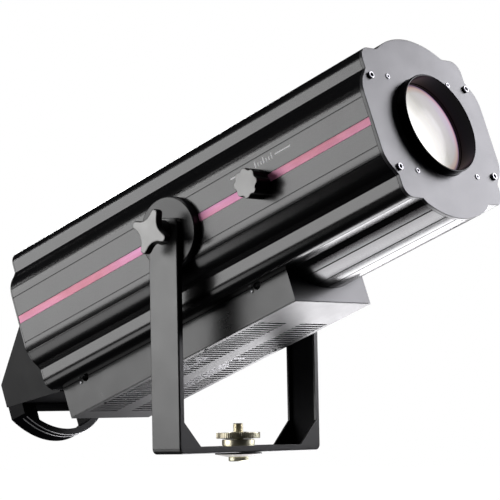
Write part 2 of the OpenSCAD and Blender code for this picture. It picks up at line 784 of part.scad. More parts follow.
module power_switch() {
    color(black) head() translate([switch[0], box_rear - 3, switch[1]]) rotate([0, 0, 7]) {
        block(-9.2, 9.2, -4, 5.2, -6.2, 6.2);
        cylinder(r = 1.5, h = 13.4, center = true, $fn = small_seg);
    }
}
module handle_2d() {
    difference() {
        union() {
            intersection() {
                translate([0, -handle_low + handle_arc_r]) circle(r = handle_arc_r, $fn = big_seg);
                translate([-box_x, -handle_low - 1]) square([2 * box_x, handle_low + 1 - 90]);
            }
            translate([-box_x, -112]) square([2 * box_x, 26]);
        }
        intersection() {
            translate([0, -handle_low + handle_arc_r]) circle(r = handle_arc_r - grip_t, $fn = big_seg);
            translate([-box_x + handle_leg, -handle_low]) square([2 * (box_x - handle_leg), handle_low - 99]);
        }
    }
}
module rear_handle() {
    color(black) head() difference() {
        along_y(handle_front, handle_rear - handle_front) handle_2d();
        along_x(-box_x - 1, 2 * box_x + 2) translate([0, -0.05]) hood_2d(0);
    }
}

stand_adapter();
pan_washer();
pan_collar();
pan_lock_wheel();
yoke_frame();
friction_washer_left();
friction_washer_right();
tilt_boss_left();
tilt_boss_right();
tilt_knob_left();
tilt_knob_right();
body_top();
body_bottom();
side_left();
side_right();
stripe_left();
stripe_right();
front_plate();
plate_screws();
rail_screws();
lens_tube();
front_lens();
lens_retainer();
optical_rails();
focus_carriage();
focus_lens();
focus_knob();
iris_unit();
iris_ring();
colour_wheel();
wheel_motor();
lamp_plate();
condenser();
led_module();
heatsink();
fan_frame();
fan_rotor();
rear_plate();
rear_screws();
box_shell();
box_cover();
box_screws();
cover_screws();
power_supply();
driver_board();
control_hood();
control_panel();
display_window();
fader_dimmer();
fader_iris();
fader_colour();
button_up();
button_down();
button_mode();
button_enter();
signal_sockets();
power_inlet();
fuse_holder();
power_switch();
rear_handle();
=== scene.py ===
"""Follow spot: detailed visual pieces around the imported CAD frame."""
import json
import math

import bmesh
import bpy
from mathutils import Matrix, Vector


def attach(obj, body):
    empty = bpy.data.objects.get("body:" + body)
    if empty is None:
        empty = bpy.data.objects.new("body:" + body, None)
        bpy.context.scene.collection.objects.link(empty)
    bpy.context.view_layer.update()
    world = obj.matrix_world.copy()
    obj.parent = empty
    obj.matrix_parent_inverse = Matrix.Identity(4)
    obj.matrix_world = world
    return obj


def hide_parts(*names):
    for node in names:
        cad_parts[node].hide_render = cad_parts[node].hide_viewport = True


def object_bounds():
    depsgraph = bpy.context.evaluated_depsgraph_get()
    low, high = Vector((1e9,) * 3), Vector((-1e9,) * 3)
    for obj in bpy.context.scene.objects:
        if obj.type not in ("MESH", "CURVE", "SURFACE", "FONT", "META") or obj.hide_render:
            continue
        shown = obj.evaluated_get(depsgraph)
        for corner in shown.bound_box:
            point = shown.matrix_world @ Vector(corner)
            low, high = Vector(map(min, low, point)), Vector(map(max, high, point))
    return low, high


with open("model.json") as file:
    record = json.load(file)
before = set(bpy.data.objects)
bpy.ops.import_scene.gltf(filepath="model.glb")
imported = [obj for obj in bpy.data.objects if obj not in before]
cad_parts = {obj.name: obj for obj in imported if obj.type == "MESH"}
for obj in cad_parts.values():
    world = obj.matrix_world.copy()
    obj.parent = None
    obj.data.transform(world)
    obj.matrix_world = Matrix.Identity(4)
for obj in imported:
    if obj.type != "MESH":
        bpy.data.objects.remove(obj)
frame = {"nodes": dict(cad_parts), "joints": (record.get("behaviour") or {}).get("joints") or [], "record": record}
CAD_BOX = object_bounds()
REC = frame["record"]
NODES = frame["nodes"]
BODY_OF = {n: b for b, ns in REC["behaviour"]["bodies"].items() for n in ns}
SLOT_OF = {s["node"]: s["material_slot"] for s in REC["subparts"]}
JOINTS = {j["name"]: j for j in frame["joints"]}
MM = 0.001

# ---------------------------------------------------------------- frames
beam = Vector(JOINTS["focus_slide"]["axis"])
TILT = math.atan2(abs(beam.z), abs(beam.y))
PIVOT = Vector(JOINTS["tilt"]["pos_m"])
HEAD = Matrix.Translation(PIVOT) @ Matrix.Rotation(-TILT, 4, "X") @ Matrix.Scale(MM, 4)
BASE = Matrix.Scale(MM, 4)
HEAD_INV = HEAD.inverted()


def hbox(name, inv=HEAD_INV):
    """Lowest and highest corner of a CAD node in millimetres, in the lamp head's own frame."""
    pts = [inv @ v.co for v in NODES[name].data.vertices]
    lo = Vector([min(p[i] for p in pts) for i in range(3)])
    hi = Vector([max(p[i] for p in pts) for i in range(3)])
    return lo, hi


def at(x=0, y=0, z=0):
    return Matrix.Translation((x, y, z))


def rot(deg, axis):
    return Matrix.Rotation(math.radians(deg), 4, axis)


# plates are drawn in u, v and stand along w: these put w on an axis of the head
ALONG_Y = rot(90, "X")                                   # u=X v=Z w=-Y
ALONG_X = Matrix(((0, 0, 1, 0), (1, 0, 0, 0), (0, 1, 0, 0), (0, 0, 0, 1)))  # u=Y v=Z w=X
TO_NOSE = rot(90, "X")                                   # lathe axis on -Y
TO_LEFT = rot(-90, "Y")                                  # lathe axis on -X
TO_RIGHT = rot(90, "Y")                                  # lathe axis on +X


# ---------------------------------------------------------------- materials
DRIFT_SCALE = 9                                          # slow change of colour over a surface
PATCH_SCALE = 130                                        # patches in the edge wear and painted edge light
SMUDGE_SCALE = 26                                        # change of gloss
STREAK_SCALE = 900                                       # fine lines along an extrusion
GRAIN_HEIGHT = 0.0004


def node(tree, kind, **props):
    n = tree.nodes.new(kind)
    for k, v in props.items():
        setattr(n, k, v)
    return n


def new_material(name):
    m = bpy.data.materials.new(name)
    m.use_nodes = True
    t = m.node_tree
    t.nodes.clear()
    out = node(t, "ShaderNodeOutputMaterial")
    bsdf = node(t, "ShaderNodeBsdfPrincipled")
    t.links.new(bsdf.outputs[0], out.inputs[0])
    return m, t, bsdf


def coords(t, tilt=False, scale=(1, 1, 1)):
    tc = node(t, "ShaderNodeTexCoord")
    mp = node(t, "ShaderNodeMapping")
    t.links.new(tc.outputs["Object"], mp.inputs[0])
    if tilt:
        mp.vector_type = "TEXTURE"
        mp.inputs["Location"].default_value = PIVOT
        mp.inputs["Rotation"].default_value = (-TILT, 0, 0)
    mp2 = node(t, "ShaderNodeMapping")
    mp2.inputs["Scale"].default_value = scale
    t.links.new(mp.outputs[0], mp2.inputs[0])
    return mp2.outputs[0]


def noise(t, vec, scale, detail=3, rough=0.5):
    n = node(t, "ShaderNodeTexNoise")
    n.inputs["Scale"].default_value = scale
    n.inputs["Detail"].default_value = detail
    n.inputs["Roughness"].default_value = rough
    t.links.new(vec, n.inputs["Vector"])
    return n.outputs["Fac"]


def remap(t, fac, lo, hi, a=0.3, b=0.7):
    n = node(t, "ShaderNodeMapRange")
    n.inputs["From Min"].default_value = a
    n.inputs["From Max"].default_value = b
    n.inputs["To Min"].default_value = lo
    n.inputs["To Max"].default_value = hi
    t.links.new(fac, n.inputs["Value"])
    return n.outputs[0]


def blend_colour(t, fac, a, b):
    n = node(t, "ShaderNodeMix", data_type="RGBA")
    n.inputs["A"].default_value = (*a, 1)
    n.inputs["B"].default_value = (*b, 1)
    t.links.new(fac, n.inputs["Factor"])
    return n


def edge_mask(t, radius):
    """1 near sharp edges, 0 elsewhere, from the difference between the rounded and the true normal."""
    bev = node(t, "ShaderNodeBevel", samples=4)
    bev.inputs["Radius"].default_value = radius
    geo = node(t, "ShaderNodeNewGeometry")
    dot = node(t, "ShaderNodeVectorMath", operation="DOT_PRODUCT")
    t.links.new(bev.outputs[0], dot.inputs[0])
    t.links.new(geo.outputs["Normal"], dot.inputs[1])
    return remap(t, dot.outputs["Value"], 1.0, 0.0, 0.72, 0.94)


def surface(name, base, rough, metallic=0.0, grain=1500, bump=0.12, mottle=0.05, tint=0.12,
            spec=0.5, streak=0.0, edge_wear_and_light=None, wear_r=0.0006, ior=1.5, glow=0.0):
    """A finished painted, plated or moulded surface: colour drift, grain, roughness drift, edges blended to a
    given colour as wear and painted edge light, and an optional glow of its colour, which is painted light.
    """
    m, t, b = new_material(name)
    vec = coords(t)
    drift = noise(t, vec, DRIFT_SCALE, 4)
    dark = tuple(c * (1 - tint) for c in base)
    light = tuple(min(1, c * (1 + tint)) for c in base)
    col = blend_colour(t, remap(t, drift, 0, 1), dark, light)
    out = col.outputs["Result"]
    # edges blended toward the given colour: part wear, part painted light along the edges
    if edge_wear_and_light:
        mask = edge_mask(t, wear_r)
        patch = remap(t, noise(t, vec, PATCH_SCALE, 4), 0.15, 1.0, 0.42, 0.62)
        both = node(t, "ShaderNodeMath", operation="MULTIPLY")
        t.links.new(mask, both.inputs[0])
        t.links.new(patch, both.inputs[1])
        worn_and_lit = blend_colour(t, both.outputs[0], base, edge_wear_and_light)
        t.links.new(out, worn_and_lit.inputs["A"])
        out = worn_and_lit.outputs["Result"]
    t.links.new(out, b.inputs["Base Color"])
    b.inputs["Metallic"].default_value = metallic
    b.inputs["Specular IOR Level"].default_value = spec
    b.inputs["IOR"].default_value = ior
    b.inputs["Emission Color"].default_value = (*base, 1)
    b.inputs["Emission Strength"].default_value = glow
    smudge = remap(t, noise(t, vec, SMUDGE_SCALE, 5, 0.6), rough - mottle, rough + mottle)
    t.links.new(smudge, b.inputs["Roughness"])
    fine = noise(t, vec, grain, 2)
    if streak:
        lines = noise(t, coords(t, True, (1, 0.012, 1)), STREAK_SCALE, 3)
        mix = node(t, "ShaderNodeMath", operation="MULTIPLY_ADD")
        mix.inputs[1].default_value = streak
        t.links.new(lines, mix.inputs[0])
        t.links.new(fine, mix.inputs[2])
        fine = mix.outputs[0]
    bp = node(t, "ShaderNodeBump")
    bp.inputs["Strength"].default_value = bump
    bp.inputs["Distance"].default_value = GRAIN_HEIGHT
    t.links.new(fine, bp.inputs["Height"])
    t.links.new(bp.outputs[0], b.inputs["Normal"])
    return m


MAT = {
    "black_body": surface("satin_black_extrusion", (0.004, 0.004, 0.0044), 0.22, spec=0.82, mottle=0.015,
                          grain=2200, bump=0.02, streak=0.1),
    "black_box": surface("satin_black_sheet", (0.01, 0.01, 0.0105), 0.3, spec=0.7, grain=1800, mottle=0.03,
                         bump=0.06, edge_wear_and_light=(0.06, 0.06, 0.062), wear_r=0.0005),
    "cover_sheet": surface("vented_sheet", (0.01, 0.01, 0.0105), 0.46, spec=1.0, ior=1.55, grain=1800,
                           mottle=0.03, bump=0.06, edge_wear_and_light=(0.04, 0.04, 0.04), wear_r=0.0004),
    "hood_black": surface("hood_moulding", (0.008, 0.008, 0.009), 0.42, spec=0.18, grain=1500, mottle=0.04,
                          bump=0.1, edge_wear_and_light=(0.03, 0.03, 0.03), wear_r=0.0006),
    # yoke_front and yoke_inner are darker, duller copies of the yoke paint for front and inward faces: painted
    # shade
    "yoke_front": surface("yoke_front_painted_shade", (0.012, 0.012, 0.013), 0.38, spec=0.5, grain=1900, bump=0.08,
                          mottle=0.03, edge_wear_and_light=(0.08, 0.08, 0.08), wear_r=0.0005),
    "yoke_inner": surface("yoke_inner_painted_shade", (0.006, 0.006, 0.008), 0.5, spec=0.1, grain=1900, bump=0.1),
    # grey on a black handle: painted highlight lines along the strap
    "handle_rib": surface("rib_painted_highlight", (0.4, 0.4, 0.41), 0.3, spec=1.0, ior=1.7, grain=2000, bump=0.04),
    # pale and glowing: painted reflection of a bright floor on the washer's underside
    "washer_face": surface("washer_underside_painted_reflection", (0.85, 0.82, 0.78), 0.3, spec=0.8, grain=1600, bump=0.05,
                           glow=0.3),
    "plate_grey": surface("front_plate_paint", (0.02, 0.02, 0.023), 0.34, spec=0.9, grain=2000, mottle=0.03,
                          bump=0.05, edge_wear_and_light=(0.01, 0.01, 0.01), wear_r=0.0006),
    "ring_black": surface("gloss_black_ring", (0.002, 0.002, 0.0025), 0.24, spec=0.14, grain=1200,
                          bump=0.02, mottle=0.03),
    "yoke_grey": surface("yoke_paint", (0.014, 0.014, 0.014), 0.36, spec=0.95, ior=1.56, grain=1900,
                         bump=0.08, mottle=0.03, edge_wear_and_light=(0.1, 0.1, 0.1), wear_r=0.0005),
    "boss_grey": surface("boss_satin", (0.014, 0.014, 0.015), 0.3, spec=0.6, grain=2000, bump=0.05, mottle=0.03,
                         edge_wear_and_light=(0.06, 0.06, 0.06), wear_r=0.0005),
    "knob_plastic": surface("knob_plastic", (0.01, 0.01, 0.0105), 0.34, spec=0.35, grain=1400, bump=0.1),
    "knob_face": surface("knob_face", (0.24, 0.232, 0.222), 0.4, spec=1.0, ior=1.8, grain=1700, bump=0.08),
    "brass": surface("brass_polished", (1.0, 0.88, 0.66), 0.36, metallic=0.9, grain=2400, bump=0.06,
                     tint=0.15, mottle=0.06),
    "washer_black": surface("rubber_washer", (0.012, 0.012, 0.012), 0.5, grain=1100, bump=0.2),
    "screw_steel": surface("bright_screw", (0.5, 0.5, 0.52), 0.3, metallic=1.0, grain=2600, bump=0.05),
    "screw_black": surface("black_screw", (0.02, 0.02, 0.02), 0.28, grain=2600, bump=0.06),
    "inner_aluminium": surface("milled_aluminium", (0.6, 0.6, 0.62), 0.35, metallic=1.0, grain=1600,
                               bump=0.1, tint=0.08),
    "inner_steel": surface("plated_steel", (0.5, 0.5, 0.52), 0.3, metallic=1.0, grain=1500, bump=0.08),
    "copper_board": surface("lamp_board", (0.72, 0.5, 0.3), 0.35, metallic=0.8, grain=1400, bump=0.08),
    "board_green": surface("circuit_board", (0.02, 0.12, 0.05), 0.4, grain=900, bump=0.2, tint=0.3),
    "fan_plastic": surface("fan_plastic", (0.015, 0.015, 0.016), 0.42, grain=1300, bump=0.12),
    "panel_black": surface("panel_texture", (0.02, 0.02, 0.022), 0.45, grain=900, bump=0.25),
    "display_glass": surface("display_window", (0.004, 0.01, 0.014), 0.22, spec=0.3, grain=300,
                             bump=0.01, mottle=0.02),
    "control_plastic": surface("control_cap", (0.16, 0.16, 0.165), 0.38, grain=1500, bump=0.12),
    "socket_metal": surface("nickel_socket", (0.5, 0.5, 0.51), 0.24, metallic=1.0, grain=2000, bump=0.06),
    "inlet_plastic": surface("inlet_plastic", (0.012, 0.012, 0.012), 0.4, grain=1400, bump=0.15),
    "handle_black": surface("gloss_black_handle", (0.003, 0.003, 0.004), 0.3, spec=0.05, grain=1200,
                            bump=0.04),
    # the print's white is its own colour; the glow on it is painted light
    "marks": surface("white_print", (0.9, 0.9, 0.9), 0.5, grain=2600, bump=0.05, glow=0.25),
}


def stripe_material():
    """Pink enamel whose tone drifts along the body, with its edges darkened almost to black as painted shade where
    the bar meets its channel.
    """
    m, t, b = new_material("pink_enamel")
    vec = coords(t, True, (1, 0.16, 1))
    drift = remap(t, noise(t, vec, 22, 2, 0.4), 0, 1, 0.38, 0.62)
    col = blend_colour(t, drift, (0.82, 0.26, 0.37), (1.0, 0.4, 0.76))
    # painted shade: the bar's edges darken toward near black
    mask = edge_mask(t, 0.0011)
    rim = blend_colour(t, mask, (0.6, 0.2, 0.3), (0.12, 0.02, 0.05))
    t.links.new(col.outputs["Result"], rim.inputs["A"])
    t.links.new(rim.outputs["Result"], b.inputs["Base Color"])
    b.inputs["Metallic"].default_value = 0.14
    t.links.new(remap(t, noise(t, coords(t), 60, 4), 0.28, 0.42), b.inputs["Roughness"])
    bp = node(t, "ShaderNodeBump")
    bp.inputs["Strength"].default_value = 0.06
    bp.inputs["Distance"].default_value = 0.0003
    t.links.new(noise(t, coords(t), 1500, 2), bp.inputs["Height"])
    t.links.new(bp.outputs[0], b.inputs["Normal"])
    return m


LIT_SIDE = (-0.93, 0, -0.36)                             # from the dim to the bright side of the lens
LENS_SPAN = (-0.055, 0.075)                              # where that change begins and ends
# radii where the painted peach and violet coating reflections begin and end
PEACH_REFLECTION_RIM = (0.054, 0.0655)
VIOLET_REFLECTION_RIM = (0.0625, 0.0668)


def lens_material():
    """Glass with its light painted in and glowing: a painted highlight, white on the lit side, grey across the
    middle, and painted peach and violet coating reflections toward the rim.
    """
    m, t, b = new_material("lens_painted_light")
    sep = node(t, "ShaderNodeSeparateXYZ")
    t.links.new(coords(t, True), sep.inputs[0])
    flat = node(t, "ShaderNodeCombineXYZ")
    t.links.new(sep.outputs[0], flat.inputs[0])
    t.links.new(sep.outputs[2], flat.inputs[2])
    radius = node(t, "ShaderNodeVectorMath", operation="LENGTH")
    t.links.new(flat.outputs[0], radius.inputs[0])
    slope = node(t, "ShaderNodeVectorMath", operation="DOT_PRODUCT")
    slope.inputs[1].default_value = LIT_SIDE
    t.links.new(flat.outputs[0], slope.inputs[0])
    wave = noise(t, coords(t, True), 24, 2)
    bend = node(t, "ShaderNodeMath", operation="MULTIPLY_ADD")
    bend.inputs[1].default_value = 0.02
    t.links.new(wave, bend.inputs[0])
    t.links.new(slope.outputs["Value"], bend.inputs[2])
    body = node(t, "ShaderNodeValToRGB")
    # painted light across the lens: violet at the dim edge, grey in the middle, white painted highlight
    stops = ((0.0, (0.6, 0.5, 0.66)), (0.22, (0.46, 0.44, 0.45)), (0.42, (0.42, 0.41, 0.39)),
             (0.58, (0.6, 0.59, 0.55)), (0.74, (0.98, 0.98, 0.95)), (1.0, (1.0, 1.0, 1.0)))
    for k, (pos, colour) in enumerate(stops):
        e = body.color_ramp.elements[k] if k < 2 else body.color_ramp.elements.new(pos)
        e.position = pos
        e.color = (*colour, 1)
    t.links.new(remap(t, bend.outputs[0], 0, 1, *LENS_SPAN), body.inputs[0])
    peach = remap(t, radius.outputs["Value"], 0, 1, *PEACH_REFLECTION_RIM)
    violet = remap(t, radius.outputs["Value"], 0, 0.9, *VIOLET_REFLECTION_RIM)
    rim = blend_colour(t, peach, (1, 1, 1), (0.95, 0.66, 0.55))
    edge = blend_colour(t, violet, (1, 1, 1), (0.22, 0.17, 0.33))
    t.links.new(rim.outputs["Result"], edge.inputs["A"])
    both = node(t, "ShaderNodeMix", data_type="RGBA", blend_type="MULTIPLY")
    both.inputs["Factor"].default_value = 1.0
    t.links.new(body.outputs[0], both.inputs["A"])
    t.links.new(edge.outputs["Result"], both.inputs["B"])
    t.links.new(both.outputs["Result"], b.inputs["Base Color"])
    t.links.new(both.outputs["Result"], b.inputs["Emission Color"])
    # the painted colours also glow, as painted light
    b.inputs["Emission Strength"].default_value = 1.1
    t.links.new(remap(t, noise(t, coords(t, True), 30, 3), 0.2, 0.26), b.inputs["Roughness"])
    b.inputs["Specular IOR Level"].default_value = 0.12
    b.inputs["Coat Weight"].default_value = 0.08
    b.inputs["Coat Roughness"].default_value = 0.08
    b.inputs["Coat Tint"].default_value = (0.95, 0.9, 1.0, 1)
    return m


MAT["pink_stripe"] = stripe_material()
MAT["lens_glass"] = lens_material()


# ---------------------------------------------------------------- mesh helpers
def finish_piece(name, mesh, matrix, materials, body, nodes=(), angle=32):
    """A mesh in millimetres becomes a piece in place, smooth but for real edges."""
    mesh.transform(matrix)
    if matrix.determinant() < 0:
        mesh.flip_normals()
    index = [min(p.material_index, len(materials) - 1) for p in mesh.polygons]
    mesh.materials.clear()
    for key in materials:
        mesh.materials.append(MAT[key])
    for p, k in zip(mesh.polygons, index):
        p.use_smooth = True
        p.material_index = k
    mesh.set_sharp_from_angle(angle=math.radians(angle))
    ob = bpy.data.objects.new(name, mesh)
    bpy.context.scene.collection.objects.link(ob)
    flat = ob.modifiers.new("flat_faces", "WEIGHTED_NORMAL")
    flat.keep_sharp = True
    flat.weight = 100
    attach(ob, body)
    if nodes:
        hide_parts(*nodes)
    return ob


def temp_object(data):
    ob = bpy.data.objects.new("tmp", data)
    bpy.context.scene.collection.objects.link(ob)
    return ob


def plate_mesh(loops, depth, bevel=0.4, res=2, w0=0.0):
    """Outline and holes in u, v, standing from w0 to w0 + depth, with rounded edges."""
    cu = bpy.data.curves.new("tmp", "CURVE")
    cu.dimensions = "2D"
    cu.fill_mode = "BOTH"
    cu.extrude = depth / 2 - bevel
    cu.bevel_depth = bevel
    cu.bevel_resolution = res
    cu.offset = -bevel
    for loop in loops:
        sp = cu.splines.new("POLY")
        sp.points.add(len(loop) - 1)
        for p, (u, v) in zip(sp.points, loop):
            p.co = (u, v, 0, 1)
        sp.use_cyclic_u = True
    ob = temp_object(cu)
    me = bpy.data.meshes.new_from_object(ob.evaluated_get(bpy.context.evaluated_depsgraph_get()))
    bpy.data.objects.remove(ob)
    bpy.data.curves.remove(cu)
    me.transform(at(0, 0, w0 + depth / 2))
    bm = bmesh.new()
    bm.from_mesh(me)
    bmesh.ops.remove_doubles(bm, verts=bm.verts, dist=0.002)
    bmesh.ops.recalc_face_normals(bm, faces=bm.faces)
    bm.to_mesh(me)
    bm.free()
    return me


def lathe_mesh(profile, seg=96, closed=False):
    """Turned solid about the local z axis from (radius, height) points."""
    bm = bmesh.new()
    rings = []
    for r, h in profile:
        if r < 1e-6:
            rings.append([bm.verts.new((0, 0, h))])
        else:
            rings.append([bm.verts.new((r * math.cos(2 * math.pi * k / seg),
                                        r * math.sin(2 * math.pi * k / seg), h)) for k in range(seg)])
    pairs = list(zip(rings, rings[1:])) + ([(rings[-1], rings[0])] if closed else [])
    for a, b in pairs:
        for k in range(seg):
            n = (k + 1) % seg
            if len(a) == 1 and len(b) > 1:
                bm.faces.new((a[0], b[n], b[k]))
            elif len(b) == 1 and len(a) > 1:
                bm.faces.new((a[k], a[n], b[0]))
            elif len(a) > 1:
                bm.faces.new((a[k], a[n], b[n], b[k]))
    bmesh.ops.recalc_face_normals(bm, faces=bm.faces)
    me = bpy.data.meshes.new("tmp")
    bm.to_mesh(me)
    bm.free()
    return me


def join(meshes, index=None):
    """Several meshes in one, each with its material index."""
    bm = bmesh.new()
    for k, (me, mat) in enumerate(meshes):
        start = len(bm.faces)
        bm.from_mesh(me)
        bm.faces.ensure_lookup_table()
        for f in bm.faces[start:]:
            f.material_index = index[k] if index else 0
        if mat is not None:
            verts = {v for f in bm.faces[start:] for v in f.verts}
            bmesh.ops.transform(bm, matrix=mat, verts=list(verts))
    out = bpy.data.meshes.new("tmp")
    bm.to_mesh(out)
    bm.free()
    return out


def join_kept(meshes):
    """Several placed meshes in one, each keeping its own material indices."""
    bm = bmesh.new()
    for me, mat in meshes:
        one = me.copy()
        one.transform(mat)
        bm.from_mesh(one)
        bpy.data.meshes.remove(one)
    out = bpy.data.meshes.new("tmp")
    bm.to_mesh(out)
    bm.free()
    return out


def refined(name, node_name, width, materials=None, angle=30, seg=2):
    """A CAD node's own shape with clean faces and rounded edges, as a new piece."""
    bm = bmesh.new()
    bm.from_mesh(NODES[node_name].data)
    bmesh.ops.transform(bm, matrix=Matrix.Scale(1 / MM, 4), verts=bm.verts)
    bmesh.ops.remove_doubles(bm, verts=bm.verts, dist=0.004)
    bmesh.ops.dissolve_limit(bm, angle_limit=math.radians(0.6), verts=bm.verts, edges=bm.edges)
    edges = [e for e in bm.edges if len(e.link_faces) == 2
             and e.calc_face_angle(0) > math.radians(angle)]
    if width > 0:
        bmesh.ops.bevel(bm, geom=edges, offset=width, segments=seg, profile=0.5,
                        affect="EDGES", clamp_overlap=True)
    me = bpy.data.meshes.new("tmp")
    bm.to_mesh(me)
    bm.free()
    return finish_piece(name, me, Matrix.Scale(MM, 4), materials or [SLOT_OF[node_name]],
                        BODY_OF[node_name], [node_name])


def circle(r, n=48, cx=0.0, cy=0.0):
    return [(cx + r * math.cos(2 * math.pi * k / n), cy + r * math.sin(2 * math.pi * k / n))
            for k in range(n)]


def arc(cx, cz, r, a0, a1, n):
    return [(cx + r * math.cos(math.radians(a0 + (a1 - a0) * k / n)),
             cz + r * math.sin(math.radians(a0 + (a1 - a0) * k / n))) for k in range(n + 1)]


def dense(path, step=0.7):
    """The same path with points no further apart than about one step."""
    out = []
    for (x0, z0), (x1, z1) in zip(path, path[1:]):
        n = max(1, round(math.hypot(x1 - x0, z1 - z0) / step))
        out += [(x0 + (x1 - x0) * k / n, z0 + (z1 - z0) * k / n) for k in range(n)]
    return out + [path[-1]]


def notch(path, centre, width, depth, vee=False, lip=0.35):
    """Cuts a small groove with softened lips into a dense open path; the solid lies on its left."""
    cx, cz = centre
    near = min(range(len(path)), key=lambda k: math.hypot(path[k][0] - cx, path[k][1] - cz))
    half = width / 2 + lip
    ids = [k for k, p in enumerate(path) if math.hypot(p[0] - path[near][0], p[1] - path[near][1]) <= half]
    a, b = max(min(ids) - 1, 0), min(max(ids) + 1, len(path) - 1)
    ux, uz = path[b][0] - path[a][0], path[b][1] - path[a][1]
    length = math.hypot(ux, uz)
    ux, uz = ux / length, uz / length
    nx, nz = -uz, ux
    px, pz = path[near]

    def q(s, d):
        return px + ux * s + nx * d, pz + uz * s + nz * d
    if vee:
        new = [q(-half, 0), q(-width / 2, lip * 0.5), q(0, depth), q(width / 2, lip * 0.5), q(half, 0)]
    else:
        new = [q(-half, 0), q(-width / 2, lip), q(-width / 2 + 0.1, depth),
               q(width / 2 - 0.1, depth), q(width / 2, lip), q(half, 0)]
    return path[:a + 1] + new + path[b:]


def mirror_x(path):
    return [(-x, z) for x, z in reversed(path)]


# ---------------------------------------------------------------- the lamp body's section
FLAT_X = hbox("side_right")[1].x
ARC_R, ARC_Z, ARC_A = 40.0, 38.0, 50.0                   # rounded shoulder: radius, centre, degrees
LOBE_X, LOBE_Z, LOBE_R = 109.0, 106.5, 18.0              # outer corner of the lobe and its radius
NECK_Z = 75.5                                            # where the shoulder meets the lobe
VALLEY_X = 72.0                                          # where the lobe meets the arch
ARCH_X, ARCH_STEPS = 66.0, 40
ARCH_DROP = 1.5
ARCH_R = hbox("body_top")[1].z + ARCH_DROP
WALL = 3.0
SEAM_Z = 69.0
SHOULDER_Z = 48.0
FLAT_GROOVE_Z = 34.5
ARCH_GROOVES = (3.2, 12.6, 24.4)
BODY_Y0, BODY_Y1 = hbox("body_top")[0].y, hbox("body_top")[1].y
PLATE_Y0 = hbox("front_plate")[0].y


def quarter(inset, s):
    """Section from the side flat round the lobe to the top of the arch, for z up."""
    r = ARCH_R - inset
    xs = [ARCH_X * (1 - k / ARCH_STEPS) for k in range(ARCH_STEPS + 1)]
    arch = [(x, math.sqrt(r * r - x * x) - s * ARCH_DROP) for x in xs]
    return (arc(FLAT_X - ARC_R, ARC_Z, ARC_R - inset, 0, ARC_A, 16)
            + [(LOBE_X - inset, NECK_Z - inset * 0.6)]
            + arc(LOBE_X - LOBE_R, LOBE_Z - LOBE_R, LOBE_R - inset, 0, 90, 18)
            + [(VALLEY_X - inset * 1.2, LOBE_Z - inset)] + arch)


def split_at(path, z):
    """The part of a rising path above height z."""
    out = []
    for (x0, z0), (x1, z1) in zip(path, path[1:]):
        if z0 < z <= z1 and not out:
            k = (z - z0) / (z1 - z0)
            out.append((x0 + (x1 - x0) * k, z))
        if out:
            out.append((x1, z1))
    return out


def full_outline():
    """The whole section of the body, as both end plates have it."""
    top = quarter(0, 1)
    low = quarter(0, -1)
    right_top = [(FLAT_X, 0)] + top
    left_top = mirror_x(top[:-1])
    left_low = [(-x, -z) for x, z in low]
    right_low = [(x, -z) for x, z in reversed(low[:-1])]
    return right_top + left_top + left_low + right_low


def cap_outline(s):
    """Closed section of the top (s=1) or bottom (s=-1) extrusion, with its grooves."""
    outer = dense(split_at(quarter(0, s), SEAM_Z + 0.1))
    for a in ARCH_GROOVES:
        r = math.radians(a)
        spot = (ARCH_R * math.sin(r), ARCH_R * math.cos(r) - s * ARCH_DROP)
        outer = notch(outer, spot, 1.7, 1.0, True, 0.3)
    outer = notch(outer, (VALLEY_X, LOBE_Z), 1.2, 0.6, True, 0.5)
    inner = split_at(quarter(WALL, s), SEAM_Z + 0.1)
    loop = outer + mirror_x(outer)[1:] + [(-x, z) for x, z in inner] + list(reversed(inner))[1:]
    return loop if s > 0 else [(x, -z) for x, z in loop]


def below(path, z):
    """The part of a rising path below height z."""
    out = []
    for (x0, z0), (x1, z1) in zip(path, path[1:]):
        if z1 <= z:
            out.append((x0, z0))
        elif z0 <= z < z1:
            k = (z - z0) / (z1 - z0)
            out += [(x0, z0), (x0 + (x1 - x0) * k, z)]
            break
    return out


def side_outline():
    """Closed section of the right side extrusion: stripe channel, two line grooves and shoulder grooves."""
    sb = hbox("stripe_right")
    up = below([(FLAT_X, 0)] + quarter(0, 1), SEAM_Z - 0.1)
    low = [(x, -z) for x, z in reversed(up)]
    outer = dense(low[:-1] + up, 0.5)
    for z in (SHOULDER_Z, -SHOULDER_Z):
        x = FLAT_X - ARC_R + math.sqrt(ARC_R ** 2 - (SHOULDER_Z - ARC_Z) ** 2)
        outer = notch(outer, (x, z), 1.3, 0.9, True, 0.45)
    for z in (FLAT_GROOVE_Z, -FLAT_GROOVE_Z):
        outer = notch(outer, (FLAT_X, z), 1.2, 0.9, False, 0.3)
    channel = (FLAT_X, (sb[0].z + sb[1].z) / 2)
    outer = notch(outer, channel, sb[1].z - sb[0].z + 0.3, FLAT_X - sb[0].x, False, 0.25)
    inner_up = below([(FLAT_X - WALL, 0)] + quarter(WALL, 1), SEAM_Z - 0.1)
    inner = [(x, -z) for x, z in reversed(inner_up)][:-1] + inner_up
    return outer + list(reversed(inner))


def boolean_cut(me, cutters):
    """Cuts turned or boxed cutters, in the same millimetre frame, out of a mesh."""
    ob = temp_object(me)
    tmp = []
    for c in cutters:
        co = temp_object(c)
        co.hide_render = True
        md = ob.modifiers.new("cut", "BOOLEAN")
        md.operation = "DIFFERENCE"
        md.solver = "EXACT"
        md.object = co
        tmp.append(co)
    bpy.context.view_layer.update()
    out = bpy.data.meshes.new_from_object(ob.evaluated_get(bpy.context.evaluated_depsgraph_get()))
    for o in [ob] + tmp:
        bpy.data.objects.remove(o)
    return out


def stadium(length, width, n=8):
    """Long hole with round ends."""
    h = (length - width) / 2
    return arc(h, 0, width / 2, -90, 90, n) + arc(-h, 0, width / 2, 90, 270, n)


